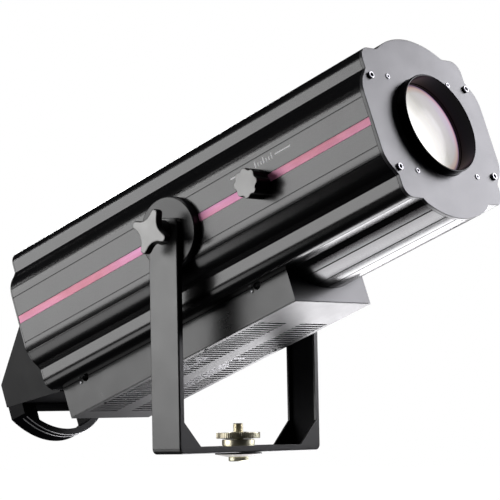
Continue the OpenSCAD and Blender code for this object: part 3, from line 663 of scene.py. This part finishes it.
body_len = BODY_Y1 - BODY_Y0
ymid = at(0, BODY_Y1, 0) @ ALONG_Y
for part, s in (("body_top", 1), ("body_bottom", -1)):
    me = plate_mesh([cap_outline(s)], body_len, 0.12, 0)
    finish_piece(part + "_shell", me, HEAD @ ymid, ["black_body"], "head", [part], angle=24)

SLOT_WIDE, SLOT_DEEP = 8.8, 24                           # slot for the focus knob's neck
knob_lo, knob_hi = hbox("focus_knob")
focus_c = ((knob_lo.y + knob_hi.y) / 2, (knob_lo.z + knob_hi.z) / 2)
travel = JOINTS["focus_slide"]["range_m"][1] / MM
slot_cut = plate_mesh([stadium(2 * travel + SLOT_WIDE, SLOT_WIDE)], SLOT_DEEP, 0.1, 0)
slot_cut.transform(at(-FLAT_X - SLOT_DEEP / 2, *focus_c) @ ALONG_X)
for part, sign in (("side_right", 1), ("side_left", -1)):
    me = plate_mesh([side_outline()], body_len, 0.12, 0)
    me.transform(ymid)
    if sign < 0:
        me.transform(Matrix.Scale(-1, 4, (1, 0, 0)))
        me.flip_normals()
        me = boolean_cut(me, [slot_cut.copy()])
    finish_piece(part + "_wall", me, HEAD, ["black_body"], "head", [part], angle=24)

# pink bars in their channels
for part, sign in (("stripe_right", 1), ("stripe_left", -1)):
    lo, hi = hbox(part)
    boss = hbox("tilt_boss_right")
    bars = []
    for y0, y1 in ((lo.y, boss[0].y - 0.6), (boss[1].y + 0.6, hi.y)):
        z0, z1 = lo.z + 0.1, hi.z - 0.1
        me = plate_mesh([[(y0, z0), (y1, z0), (y1, z1), (y0, z1)]], hi.x - lo.x, 0.35, 2)
        me.transform(at(lo.x, 0, 0) @ ALONG_X)
        if sign < 0 and y0 < focus_c[0] < y1:
            me = boolean_cut(me, [slot_cut.copy()])
        bars.append((me, None))
    finish_piece(part + "_bar", join(bars), HEAD, ["pink_stripe"], "head", [part])

# ---------------------------------------------------------------- end plates and screws
TUBE_STEP = 6                                            # how far the tube's inner flange stands out
RING_R = hbox("lens_tube")[1].x - TUBE_STEP


def screw_centres(node_name):
    """Centres of the four screws of a node, from its four separate quadrants."""
    pts = [HEAD_INV @ v.co for v in NODES[node_name].data.vertices]
    out = []
    for sx in (-1, 1):
        for sz in (-1, 1):
            q = [p for p in pts if p.x * sx > 0 and p.z * sz > 0]
            out.append(((min(p.x for p in q) + max(p.x for p in q)) / 2,
                        (min(p.z for p in q) + max(p.z for p in q)) / 2))
    return out


corner_c = screw_centres("plate_screws")
rail_c = screw_centres("rail_screws")
outline = full_outline()
holes = [circle(RING_R + 0.1, 128)] + [circle(2.7, 24, x, z) for x, z in corner_c]
holes += [circle(2.2, 24, x, z) for x, z in rail_c]
fp = hbox("front_plate")
me = plate_mesh([outline] + holes, fp[1].y - fp[0].y, 0.7, 2)
finish_piece("front_plate_panel", me, HEAD @ at(0, fp[1].y, 0) @ ALONG_Y, ["plate_grey"], "head",
             ["front_plate"])

VENT_R, VENT_PITCH, VENT_Z = 4, 12, 68
DOOR_X, DOOR_LOW, DOOR_TOP = 60, -70, 20                 # opening behind the control housing
rp = hbox("rear_plate")
vents = [circle(VENT_R, 20, i * VENT_PITCH, VENT_Z + k * VENT_PITCH) for i in range(-4, 5) for k in range(3)]
vents += [circle(2.7, 20, x, z) for x, z in corner_c]
vents.append([(-DOOR_X, DOOR_LOW), (DOOR_X, DOOR_LOW), (DOOR_X, DOOR_TOP), (-DOOR_X, DOOR_TOP)])
me = plate_mesh([outline] + vents, rp[1].y - rp[0].y, 0.5, 2)
finish_piece("rear_plate_panel", me, HEAD @ at(0, rp[1].y, 0) @ ALONG_Y, ["black_body"], "head",
             ["rear_plate"])


def screw_mesh(r, height):
    """Cheese head with a rounded rim and a hexagon socket, standing up local z."""
    turns = [math.radians(60 * k + 10) for k in range(6)]
    hexa = [(r * 0.58 * math.cos(a), r * 0.58 * math.sin(a)) for a in turns]
    head_me = plate_mesh([circle(r, 40), hexa], height, min(0.8, height * 0.35), 3)
    base_me = lathe_mesh([(0, 0.06), (r * 0.62, 0.06), (r * 0.62, 0.02), (0, 0.02)], 24)
    shank = lathe_mesh([(0, 0.05), (r * 0.5, 0.05), (r * 0.5, -11), (r * 0.4, -12), (0, -12)], 24)
    return join([(head_me, None), (base_me, None), (shank, None)], [0, 1, 0])


def screws(name, node_name, y, r, height, flip=False):
    """The four screws of a node, each turned a little further than the last."""
    me = screw_mesh(r, height)
    face = TO_NOSE if not flip else rot(-90, "X")
    parts = [(me, at(x, y, z) @ face @ rot(23 * k, "Z")) for k, (x, z) in enumerate(screw_centres(node_name))]
    finish_piece(name, join_kept(parts), HEAD, [SLOT_OF[node_name], "ring_black"], "head", [node_name])


screws("front_corner_screws", "plate_screws", fp[0].y, 5.0, 3.3)
screws("front_rail_screws", "rail_screws", fp[0].y, 3.6, 1.2)
screws("rear_corner_screws", "rear_screws", rp[1].y, 5.0, 3.3, True)

# ---------------------------------------------------------------- lens tube and lens
lt = hbox("lens_tube")
ring_out = PLATE_Y0 - lt[0].y
tube_in, seat_in = 67.8, 62.4                            # bore before and behind the lens
tube_back, seat_front = -62, -41.5
flange = RING_R + TUBE_STEP
prof = [(tube_in, -1.0), (tube_in + 0.25, -0.35), (tube_in + 0.9, 0), (RING_R - 1.1, 0),
        (RING_R - 0.3, -0.35), (RING_R, -1.1), (RING_R, -ring_out - 5), (flange, -ring_out - 5.2),
        (flange, -ring_out - 8), (RING_R, -ring_out - 8), (RING_R, tube_back), (seat_in, tube_back),
        (seat_in, seat_front), (tube_in, seat_front), (tube_in, -40)]
prof += [(tube_in - 0.5 * (k % 2), -38 + k) for k in range(16)]
me = lathe_mesh(prof, 160, True)
finish_piece("lens_tube_ring", me, HEAD @ at(0, lt[0].y, 0) @ TO_NOSE, ["ring_black"], "head", ["lens_tube"])

fl = hbox("front_lens")
lens_r = fl[1].x
lens_deep = fl[1].y - fl[0].y
LENS_CURVE = 230                                         # radius of the domed face
radii = [lens_r * k / 40 for k in range(41)]
prof = [(r, math.sqrt(LENS_CURVE ** 2 - r ** 2) - LENS_CURVE) for r in radii]
prof += [(lens_r, -lens_deep), (0, -lens_deep)]
finish_piece("front_lens_glass", lathe_mesh(prof, 160), HEAD @ at(0, fl[0].y, 0) @ TO_NOSE, ["lens_glass"],
             "head", ["front_lens"])
lr = hbox("lens_retainer")
prof = [(lr[1].x, 0), (66.9, 0), (66.5, -0.4), (66.5, -3.6), (lr[1].x, -3.6)]
finish_piece("lens_retainer_ring", lathe_mesh(prof, 128, True), HEAD @ at(0, lr[0].y, 0) @ TO_NOSE,
             ["ring_black"], "head", ["lens_retainer"])


# ---------------------------------------------------------------- knobs
def lobed(r, n, bite, bite_out, phase=0.0, soft=6):
    """Round outline with n concave bites, its cusps softened."""
    pts = []
    total = 360
    for k in range(total):
        a = 2 * math.pi * k / total
        d = r
        for i in range(n):
            c = 2 * math.pi * i / n + phase
            da = a - c
            cx = r + bite_out
            disc = bite ** 2 - (cx * math.sin(da)) ** 2
            if disc > 0 and math.cos(da) > 0:
                d = min(d, cx * math.cos(da) - math.sqrt(disc))
        pts.append((d * math.cos(a), d * math.sin(a)))
    for _ in range(soft):
        pts = [((pts[k - 1][0] + 2 * pts[k][0] + pts[(k + 1) % total][0]) / 4,
                (pts[k - 1][1] + 2 * pts[k][1] + pts[(k + 1) % total][1]) / 4) for k in range(total)]
    return pts


def tilt_knob(part, sign, turn):
    """Four-lobed grip with a flat face, on a tapered hub."""
    lo, hi = hbox(part)
    face = max(abs(lo.x), abs(hi.x))
    grip = plate_mesh([lobed(31.9, 4, 22, 7.8, 0, 40)], 12, 2.2, 4, w0=-12)
    hub = lathe_mesh([(0, -1), (14.6, -1), (15, -11), (16.4, -24), (17, -27), (0, -27)], 72)
    stud = lathe_mesh([(0, -20), (6, -20), (6, -63), (5.4, -64), (0, -64)], 48)
    me = join([(grip, None), (hub, None), (stud, None)], [0, 0, 1])
    for p in me.polygons:
        if p.material_index == 0 and p.normal.z > 0.75 and p.center.z > -2.3:
            p.material_index = 2
    m = rot(turn, "X") @ at(sign * face, 0, 0) @ (TO_LEFT if sign < 0 else TO_RIGHT)
    finish_piece(part + "_grip", me, HEAD @ m, ["knob_plastic", "screw_steel", "knob_face"], part, [part])


tilt_knob("tilt_knob_left", -1, -3)
tilt_knob("tilt_knob_right", 1, 28)

height = 29.0
grip = plate_mesh([lobed(20.4, 8, 6.2, 3.5, 0.2, 20)], height, 1.3, 3, w0=-height)
neck = lathe_mesh([(0, -height + 6), (4, -height + 6), (4, -height - 10), (3, -height - 10),
                   (3, -height - 28), (0, -height - 28)], 40)
me = join([(grip, None), (neck, None)], [0, 1])
for p in me.polygons:
    if p.material_index == 0 and p.normal.z > 0.8 and p.center.z > -1.5:
        p.material_index = 2
finish_piece("focus_knob_grip", me, HEAD @ at(knob_lo.x, *focus_c) @ TO_LEFT,
             ["knob_plastic", "screw_steel", "knob_face"], "focus_knob", ["focus_knob"])

# ---------------------------------------------------------------- tilt bosses
for part, sign in (("tilt_boss_left", -1), ("tilt_boss_right", 1)):
    lo, hi = hbox(part)
    face = max(abs(lo.x), abs(hi.x))
    r = hi.y
    root = FLAT_X - face
    prof = [(6.1, 0), (r - 2.4, 0), (r - 1.2, -0.35), (r - 0.35, -1.1), (r, -2.2), (r, root - 0.2),
            (10.9, root - 0.2), (10.9, root - 18), (6.1, root - 18)]
    m = at(sign * face, 0, 0) @ (TO_LEFT if sign < 0 else TO_RIGHT)
    finish_piece(part + "_disc", lathe_mesh(prof, 144, True), HEAD @ m, ["boss_grey"], "head", [part])

# ---------------------------------------------------------------- yoke
yb = hbox("yoke_frame", BASE.inverted())
ARM_OUT, YOKE_HALF, ARM_TOP = yb[1].x, yb[1].y, yb[1].z
LIP, SHEET = 9.0, 3.0
BEND, CORNER_R, TOP_R = 2.2, 8.0, 6.0
GUSSET = 34.0


def yoke_section():
    """Channel section as (depth inward, y), outer bends rounded."""
    h = YOKE_HALF
    turns = [(math.sin(math.radians(a)), math.cos(math.radians(a))) for a in range(0, 91, 15)]
    pts = [(LIP, -h)]
    pts += [(BEND - BEND * sn, -h + BEND - BEND * cs) for sn, cs in turns]
    pts += [(BEND - BEND * cs, h - BEND + BEND * sn) for sn, cs in turns]
    pts += [(LIP, h), (LIP, h - SHEET), (SHEET, h - SHEET), (SHEET, -h + SHEET), (LIP, -h + SHEET)]
    return pts


def yoke_point(station, d, y):
    """Point of the channel at a station along the U, d inward from its outer face."""
    side, turn = station
    if turn is None:
        over = max(0.0, abs(y) - (YOKE_HALF - TOP_R))
        z = ARM_TOP - (TOP_R - math.sqrt(max(0.0, TOP_R * TOP_R - over * over)))
        return side * (ARM_OUT - d), y, z
    a = math.radians(turn)
    cx, cz = side * (ARM_OUT - CORNER_R), CORNER_R
    if d <= CORNER_R:
        r = CORNER_R - d
        return cx + side * r * math.cos(a), y, cz - r * math.sin(a)
    return cx - side * (d - CORNER_R), y, cz + (d - CORNER_R)


# stations are (side, degrees round the bottom corner), or no degrees at the top of an arm
stations = [(-1, None)] + [(-1, a) for a in range(0, 91, 10)]
stations += [(1, a) for a in range(90, -1, -10)] + [(1, None)]
section = yoke_section()
bm = bmesh.new()
rows = [[bm.verts.new(yoke_point(st, d, y)) for d, y in section] for st in stations]
count = len(section)
for r0, r1 in zip(rows, rows[1:]):
    for k in range(count):
        bm.faces.new((r0[k], r0[(k + 1) % count], r1[(k + 1) % count], r1[k]))
bm.faces.new(rows[0])
bm.faces.new(list(reversed(rows[-1])))
bmesh.ops.remove_doubles(bm, verts=bm.verts, dist=0.001)
bmesh.ops.recalc_face_normals(bm, faces=bm.faces)
channel = bpy.data.meshes.new("tmp")
bm.to_mesh(channel)
bm.free()
parts = [(channel, None)]
for s in (-1, 1):
    x0 = s * (ARM_OUT - LIP + 0.3)
    tri = [(x0, LIP - 0.3), (x0 - s * (GUSSET + 0.3), LIP - 0.3), (x0, LIP + GUSSET)]
    if s > 0:
        tri.reverse()
    for y0 in (-YOKE_HALF + SHEET, YOKE_HALF):
        gusset = plate_mesh([tri], SHEET - 0.06, 0.05, 0)
        parts.append((gusset, at(0, y0 - 0.03, 0) @ ALONG_Y))
me = join(parts)
# inward and front faces get the darker copies of the yoke paint, as painted shade
for p in me.polygons:
    if abs(p.normal.x) > 0.95 and p.normal.x * p.center.x < 0 and abs(p.center.x) > ARM_OUT - SHEET - 1:
        p.material_index = 1
    elif p.normal.y < -0.95:
        p.material_index = 2
finish_piece("yoke_channel", me, BASE, ["yoke_grey", "yoke_inner", "yoke_front"], "yoke",
             ["yoke_frame"])

# ---------------------------------------------------------------- brass stand hardware
STUD_R, HOLE_R, HOLE_TOP = 7, 4.25, 7.5
THREAD_FIRST, THREAD_PITCH, THREAD_TURNS = 28.6, 1.9, 6
sa = hbox("stand_adapter", BASE.inverted())
prof = [(HOLE_R, sa[0].z), (12.6, sa[0].z), (13.4, sa[0].z + 0.5), (14, sa[0].z + 1.2), (14, -6.8),
        (13.5, -6.2), (12.6, -5.6), (12.6, -2.6), (STUD_R, -2.6), (STUD_R, 19), (STUD_R, 28)]
for k in range(THREAD_TURNS):
    z = THREAD_FIRST + k * THREAD_PITCH
    prof += [(STUD_R, z), (6.45, z + 0.5), (6.45, z + 0.8), (STUD_R, z + 1.3)]
prof += [(6.9, 39.4), (6.1, 40.3), (2.2, 40.35), (1.6, 39.6), (0, 39.4), (0, HOLE_TOP), (HOLE_R, HOLE_TOP)]
finish_piece("stand_stud", lathe_mesh(prof, 72, True), BASE, ["brass"], "stand_mount", ["stand_adapter"],
             angle=28)
prof = [(7.2, -0.4), (29.4, -0.4), (31.8, -0.8), (32.9, -1.4), (33, -2.0), (32.6, -2.6), (31.6, -2.9),
        (24, -4.5), (16.2, -6.1), (15.2, -6.1), (13.2, -2.5), (7.2, -2.5)]
me = lathe_mesh(prof, 96, True)
# faces on the underside take the pale glowing washer_face colour, a painted reflection
for p in me.polygons:
    if p.center.z < -2.7:
        p.material_index = 1
finish_piece("dished_washer", me, BASE, ["washer_black", "washer_face"], "stand_mount", ["pan_washer"])
pc = hbox("pan_collar", BASE.inverted())
collar_r = 22.8
prof = [(7.15, pc[0].z), (21.6, pc[0].z), (22.6, pc[0].z + 0.8), (collar_r, pc[0].z + 2), (collar_r, 8.4),
        (22.2, 9), (22.2, 10), (collar_r, 10.6), (collar_r, 16.6), (22.2, 17.7), (21.4, pc[1].z),
        (7.15, pc[1].z)]
finish_piece("brass_collar", lathe_mesh(prof, 96, True), BASE, ["brass"], "stand_mount", ["pan_collar"])
pw = hbox("pan_lock_wheel", BASE.inverted())
KNURLS = 60
knurl = []
for k in range(KNURLS):
    a = 2 * math.pi * k / KNURLS
    for da, r in ((-0.038, 30.55), (0.0, 30.6), (0.020, 30.55), (0.0523, 29.75)):
        knurl.append((r * math.cos(a + da), r * math.sin(a + da)))
rim = plate_mesh([knurl, circle(20, 60)], 8.2, 0.8, 2, w0=pw[0].z + 0.9)
web = lathe_mesh([(7.05, 18.5), (17, 18.45), (24, 19.4), (24.5, 26.0), (17, 27.2), (13.5, 27.5),
                  (12.4, 28.3), (7.6, 28.4), (7.05, 28)], 96, True)
finish_piece("knurled_wheel", join([(rim, None), (web, None)]), BASE, ["brass"], "pan_lock",
             ["pan_lock_wheel"])

# ---------------------------------------------------------------- vented box
bc = hbox("box_cover")
refined("box_walls", "box_shell", 0.35, angle=60, seg=2)
SLOTS, SLOT_PITCH, SLOT_FIRST = 45, 7.7, -55
SLOT_X, SLOT_LENGTH, SLOT_WIDTH = 44, 58, 4.0
loops = [[(bc[0].x, bc[0].y), (bc[1].x, bc[0].y), (bc[1].x, bc[1].y), (bc[0].x, bc[1].y)]]
for i in range(SLOTS):
    for s in (-1, 1):
        cy = SLOT_FIRST + i * SLOT_PITCH
        loops.append([(s * SLOT_X + u, cy + v) for u, v in stadium(SLOT_LENGTH, SLOT_WIDTH, 5)])
me = plate_mesh(loops, bc[1].z - bc[0].z - 0.6, 0.3, 1, w0=bc[0].z)
finish_piece("vented_cover", me, HEAD, ["cover_sheet"], "head", ["box_cover"])

# ---------------------------------------------------------------- rear handle
hb = hbox("rear_handle")
refined("handle_strap", "rear_handle", 1.6, angle=30, seg=3)
# the two thin grey ribs paint the highlight lines on the black strap
STRAP_R = 113.0
RIB_STEPS, RIB_TURN = 60, 1.42
strap_z = hb[0].z + STRAP_R
ribs = []
for rib_y in (1.6, 10.0):
    bm = bmesh.new()
    rows = []
    for k in range(RIB_STEPS + 1):
        a = math.radians(-90 + (k - RIB_STEPS / 2) * RIB_TURN)
        ring = []
        for j in range(7):
            b = math.pi * j / 6
            r = STRAP_R - 0.3 + math.sin(b)
            y = hb[0].y + rib_y + 1.2 * math.cos(b)
            ring.append(bm.verts.new((r * math.cos(a), y, strap_z + r * math.sin(a))))
        rows.append(ring)
    for r0, r1 in zip(rows, rows[1:]):
        for j in range(6):
            bm.faces.new((r0[j], r0[j + 1], r1[j + 1], r1[j]))
    bmesh.ops.recalc_face_normals(bm, faces=bm.faces)
    me = bpy.data.meshes.new("tmp")
    bm.to_mesh(me)
    bm.free()
    ribs.append((me, None))
finish_piece("handle_ribs", join(ribs), HEAD, ["handle_rib"], "head")

# ---------------------------------------------------------------- hood, controls and the small parts
refined("hood_case", "control_hood", 0.9, ["hood_black"], angle=25)
pts = [HEAD_INV @ v.co for v in NODES["box_screws"].data.vertices]
middle = (min(p.y for p in pts) + max(p.y for p in pts)) / 2
fixings = []
for sx in (-1, 1):
    for sy in (-1, 1):
        q = [p for p in pts if p.x * sx > 0 and (p.y - middle) * sy > 0]
        cy, cz = ((min(p[i] for p in q) + max(p[i] for p in q)) / 2 for i in (1, 2))
        r = max(p.z for p in q) - cz
        top = max(abs(p.x) for p in q)
        me = lathe_mesh([(0, -0.9), (r * 0.34, -0.9), (r * 0.36, -0.1), (r * 0.62, -0.12),
                         (r * 0.9, -0.55), (r, -1.1), (r, -1.55), (2, -1.6), (2, -11), (0, -11.4)], 40)
        fixings.append((me, at(sx * top, cy, cz) @ (TO_LEFT if sx < 0 else TO_RIGHT)))
finish_piece("box_screw_heads", join(fixings), HEAD, ["screw_steel"], "head", ["box_screws"])
for n, w in (("control_panel", 0.25), ("display_window", 0.3), ("fader_dimmer", 0.6), ("fader_iris", 0.6),
             ("fader_colour", 0.6), ("button_up", 0.5), ("button_down", 0.5), ("button_mode", 0.5),
             ("button_enter", 0.5), ("signal_sockets", 0.25), ("power_inlet", 0.4), ("fuse_holder", 0.5),
             ("power_switch", 0.6), ("cover_screws", 0.1)):
    refined(n + "_part", n, w)

for n, ob in NODES.items():
    if not ob.hide_render:
        ob.data.materials.clear()
        ob.data.materials.append(MAT[SLOT_OF[n]])

# ---------------------------------------------------------------- printed marks by the focus knob
PRINT_X = -FLAT_X - 0.17
LINE_LOW, LINE_TOP = 25.0, 26.4
TICKS, TICK_FIRST, TICK_PITCH, TICK_WIDE = 7, -199, 5, 1.4
marks = []


def mark(y0, y1, z0, z1):
    """One bar of white print on the side."""
    me = plate_mesh([[(y0, z0), (y1, z0), (y1, z1), (y0, z1)]], 0.16, 0.02, 0)
    marks.append((me, at(PRINT_X, 0, 0) @ ALONG_X))


for y0, y1 in ((-158, -150), (-146, -122), (-232, -204)):
    mark(y0, y1, LINE_LOW, LINE_TOP)
for k in range(TICKS):
    y = TICK_FIRST + k * TICK_PITCH
    mark(y, y + TICK_WIDE, 22.5, 30.5 if k % 3 == 0 else 27.4)
finish_piece("focus_scale_marks", join(marks), HEAD, ["marks"], "head")

# ---------------------------------------------------------------- stage, light and camera
STAND_HEIGHT = 1.0                                       # the lamp stands this far above the floor
FLOOR_Z = CAD_BOX[0].z - STAND_HEIGHT


def stage_material():
    """Pale matt floor, bright enough to read as white."""
    m, t, b = new_material("pale_floor")
    vec = coords(t)
    col = blend_colour(t, remap(t, noise(t, vec, 3, 3), 0, 1), (0.86, 0.86, 0.86), (0.9, 0.9, 0.9))
    t.links.new(col.outputs["Result"], b.inputs["Base Color"])
    b.inputs["Roughness"].default_value = 0.9
    b.inputs["Emission Color"].default_value = (1, 1, 1, 1)
    b.inputs["Emission Strength"].default_value = 1.0
    return m


MAT["floor"] = stage_material()
bm = bmesh.new()
bmesh.ops.create_grid(bm, x_segments=2, y_segments=2, size=40)
me = bpy.data.meshes.new("floor")
bm.to_mesh(me)
bm.free()
me.materials.append(MAT["floor"])
floor = bpy.data.objects.new("floor", me)
floor.location = (0, 0, FLOOR_Z)
floor.visible_glossy = False
floor.visible_diffuse = False
floor.visible_shadow = False
bpy.context.scene.collection.objects.link(floor)

world = bpy.data.worlds.new("studio")
bpy.context.scene.world = world
world.use_nodes = True
wt = world.node_tree
wt.nodes.clear()
w_out = node(wt, "ShaderNodeOutputWorld")
w_cam = node(wt, "ShaderNodeBackground")
w_cam.inputs[0].default_value = (1, 1, 1, 1)
w_cam.inputs[1].default_value = 1.0
w_env = node(wt, "ShaderNodeBackground")
w_env.inputs[0].default_value = (0.9, 0.92, 1, 1)
w_env.inputs[1].default_value = 0.012
lp = node(wt, "ShaderNodeLightPath")
w_mix = node(wt, "ShaderNodeMixShader")
wt.links.new(lp.outputs["Is Camera Ray"], w_mix.inputs[0])
wt.links.new(w_env.outputs[0], w_mix.inputs[1])
wt.links.new(w_cam.outputs[0], w_mix.inputs[2])
wt.links.new(w_mix.outputs[0], w_out.inputs[0])


def softbox(name, direction, dist, size, power, colour=(1, 1, 1), aim=(0, 0.02, 0.3)):
    """Area light at a distance and direction from the point that it is aimed at."""
    d = Vector(direction).normalized()
    light = bpy.data.lights.new(name, "AREA")
    light.shape = "RECTANGLE"
    light.size, light.size_y = size
    light.energy = power
    light.color = colour
    ob = bpy.data.objects.new(name, light)
    ob.location = Vector(aim) + d * dist
    ob.rotation_mode = "QUATERNION"
    ob.rotation_quaternion = (-d).to_track_quat("-Z", "Y")
    ob.visible_camera = False
    bpy.context.scene.collection.objects.link(ob)


COOL, COLD = (0.98, 0.97, 1.0), (0.95, 0.94, 1.0)
softbox("left_rear", (-0.76, 0.65, 0.08), 2.6, (2.4, 1.1), 28)
softbox("shoulder_line", (-0.58, 0.75, 0.30), 2.6, (1.8, 0.07), 2.6)
softbox("right_front", (0.758, -0.52, 0.39), 2.2, (1.6, 1.4), 40, COLD, (0.20, 0.02, 0.11))
softbox("right_low", (0.93, -0.35, 0.02), 2.0, (0.6, 0.4), 5)
softbox("under_arch", (0.40, 0.319, -0.859), 1.3, (0.5, 0.5), 4.2, COOL, (0, -0.353, 0.292))
softbox("under_box", (0.758, 0.460, -0.461), 1.3, (0.7, 0.6), 8.5, COOL, (0.03, -0.31, 0.27))
softbox("low_left", (-0.70, 0.42, -0.573), 1.3, (0.6, 0.6), 2.0, aim=(-0.12, 0.24, 0.14))
softbox("top", (-0.2, 0.2, 1.0), 2.6, (1.2, 1.6), 12)
softbox("right_rear", (0.62, 0.73, 0.25), 2.6, (0.7, 0.5), 12)

AZ, EL, ROLL = math.radians(-49.48), math.radians(-3.94), math.radians(-1.10)
DEPTH, LENS_MM = 3.4678, 178.343
AIM = Vector((0, 0, 0.30328))
SHIFT_RIGHT, SHIFT_DOWN = 0.02177, 0.021126
back_v = Vector((math.sin(AZ) * math.cos(EL), -math.cos(AZ) * math.cos(EL), math.sin(EL)))
fwd = -back_v
right = fwd.cross(Vector((0, 0, 1))).normalized()
up = right.cross(fwd)
right2 = right * math.cos(ROLL) + up * math.sin(ROLL)
up2 = up * math.cos(ROLL) - right * math.sin(ROLL)
cam_data = bpy.data.cameras.new("camera")
cam_data.sensor_width = 36
cam_data.lens = LENS_MM
cam = bpy.data.objects.new("camera", cam_data)
loc = AIM + right2 * SHIFT_RIGHT - up2 * SHIFT_DOWN - fwd * DEPTH
cam.matrix_world = Matrix.Translation(loc) @ Matrix((right2, up2, back_v)).transposed().to_4x4()
cam_data.clip_start, cam_data.clip_end = 0.05, 200
bpy.context.scene.collection.objects.link(cam)
bpy.context.scene.camera = cam

scene = bpy.context.scene
scene.view_settings.view_transform = "Standard"
scene.view_settings.look = "None"
scene.view_settings.exposure = 0.0
scene.view_settings.gamma = 1.0
scene.cycles.use_denoising = True
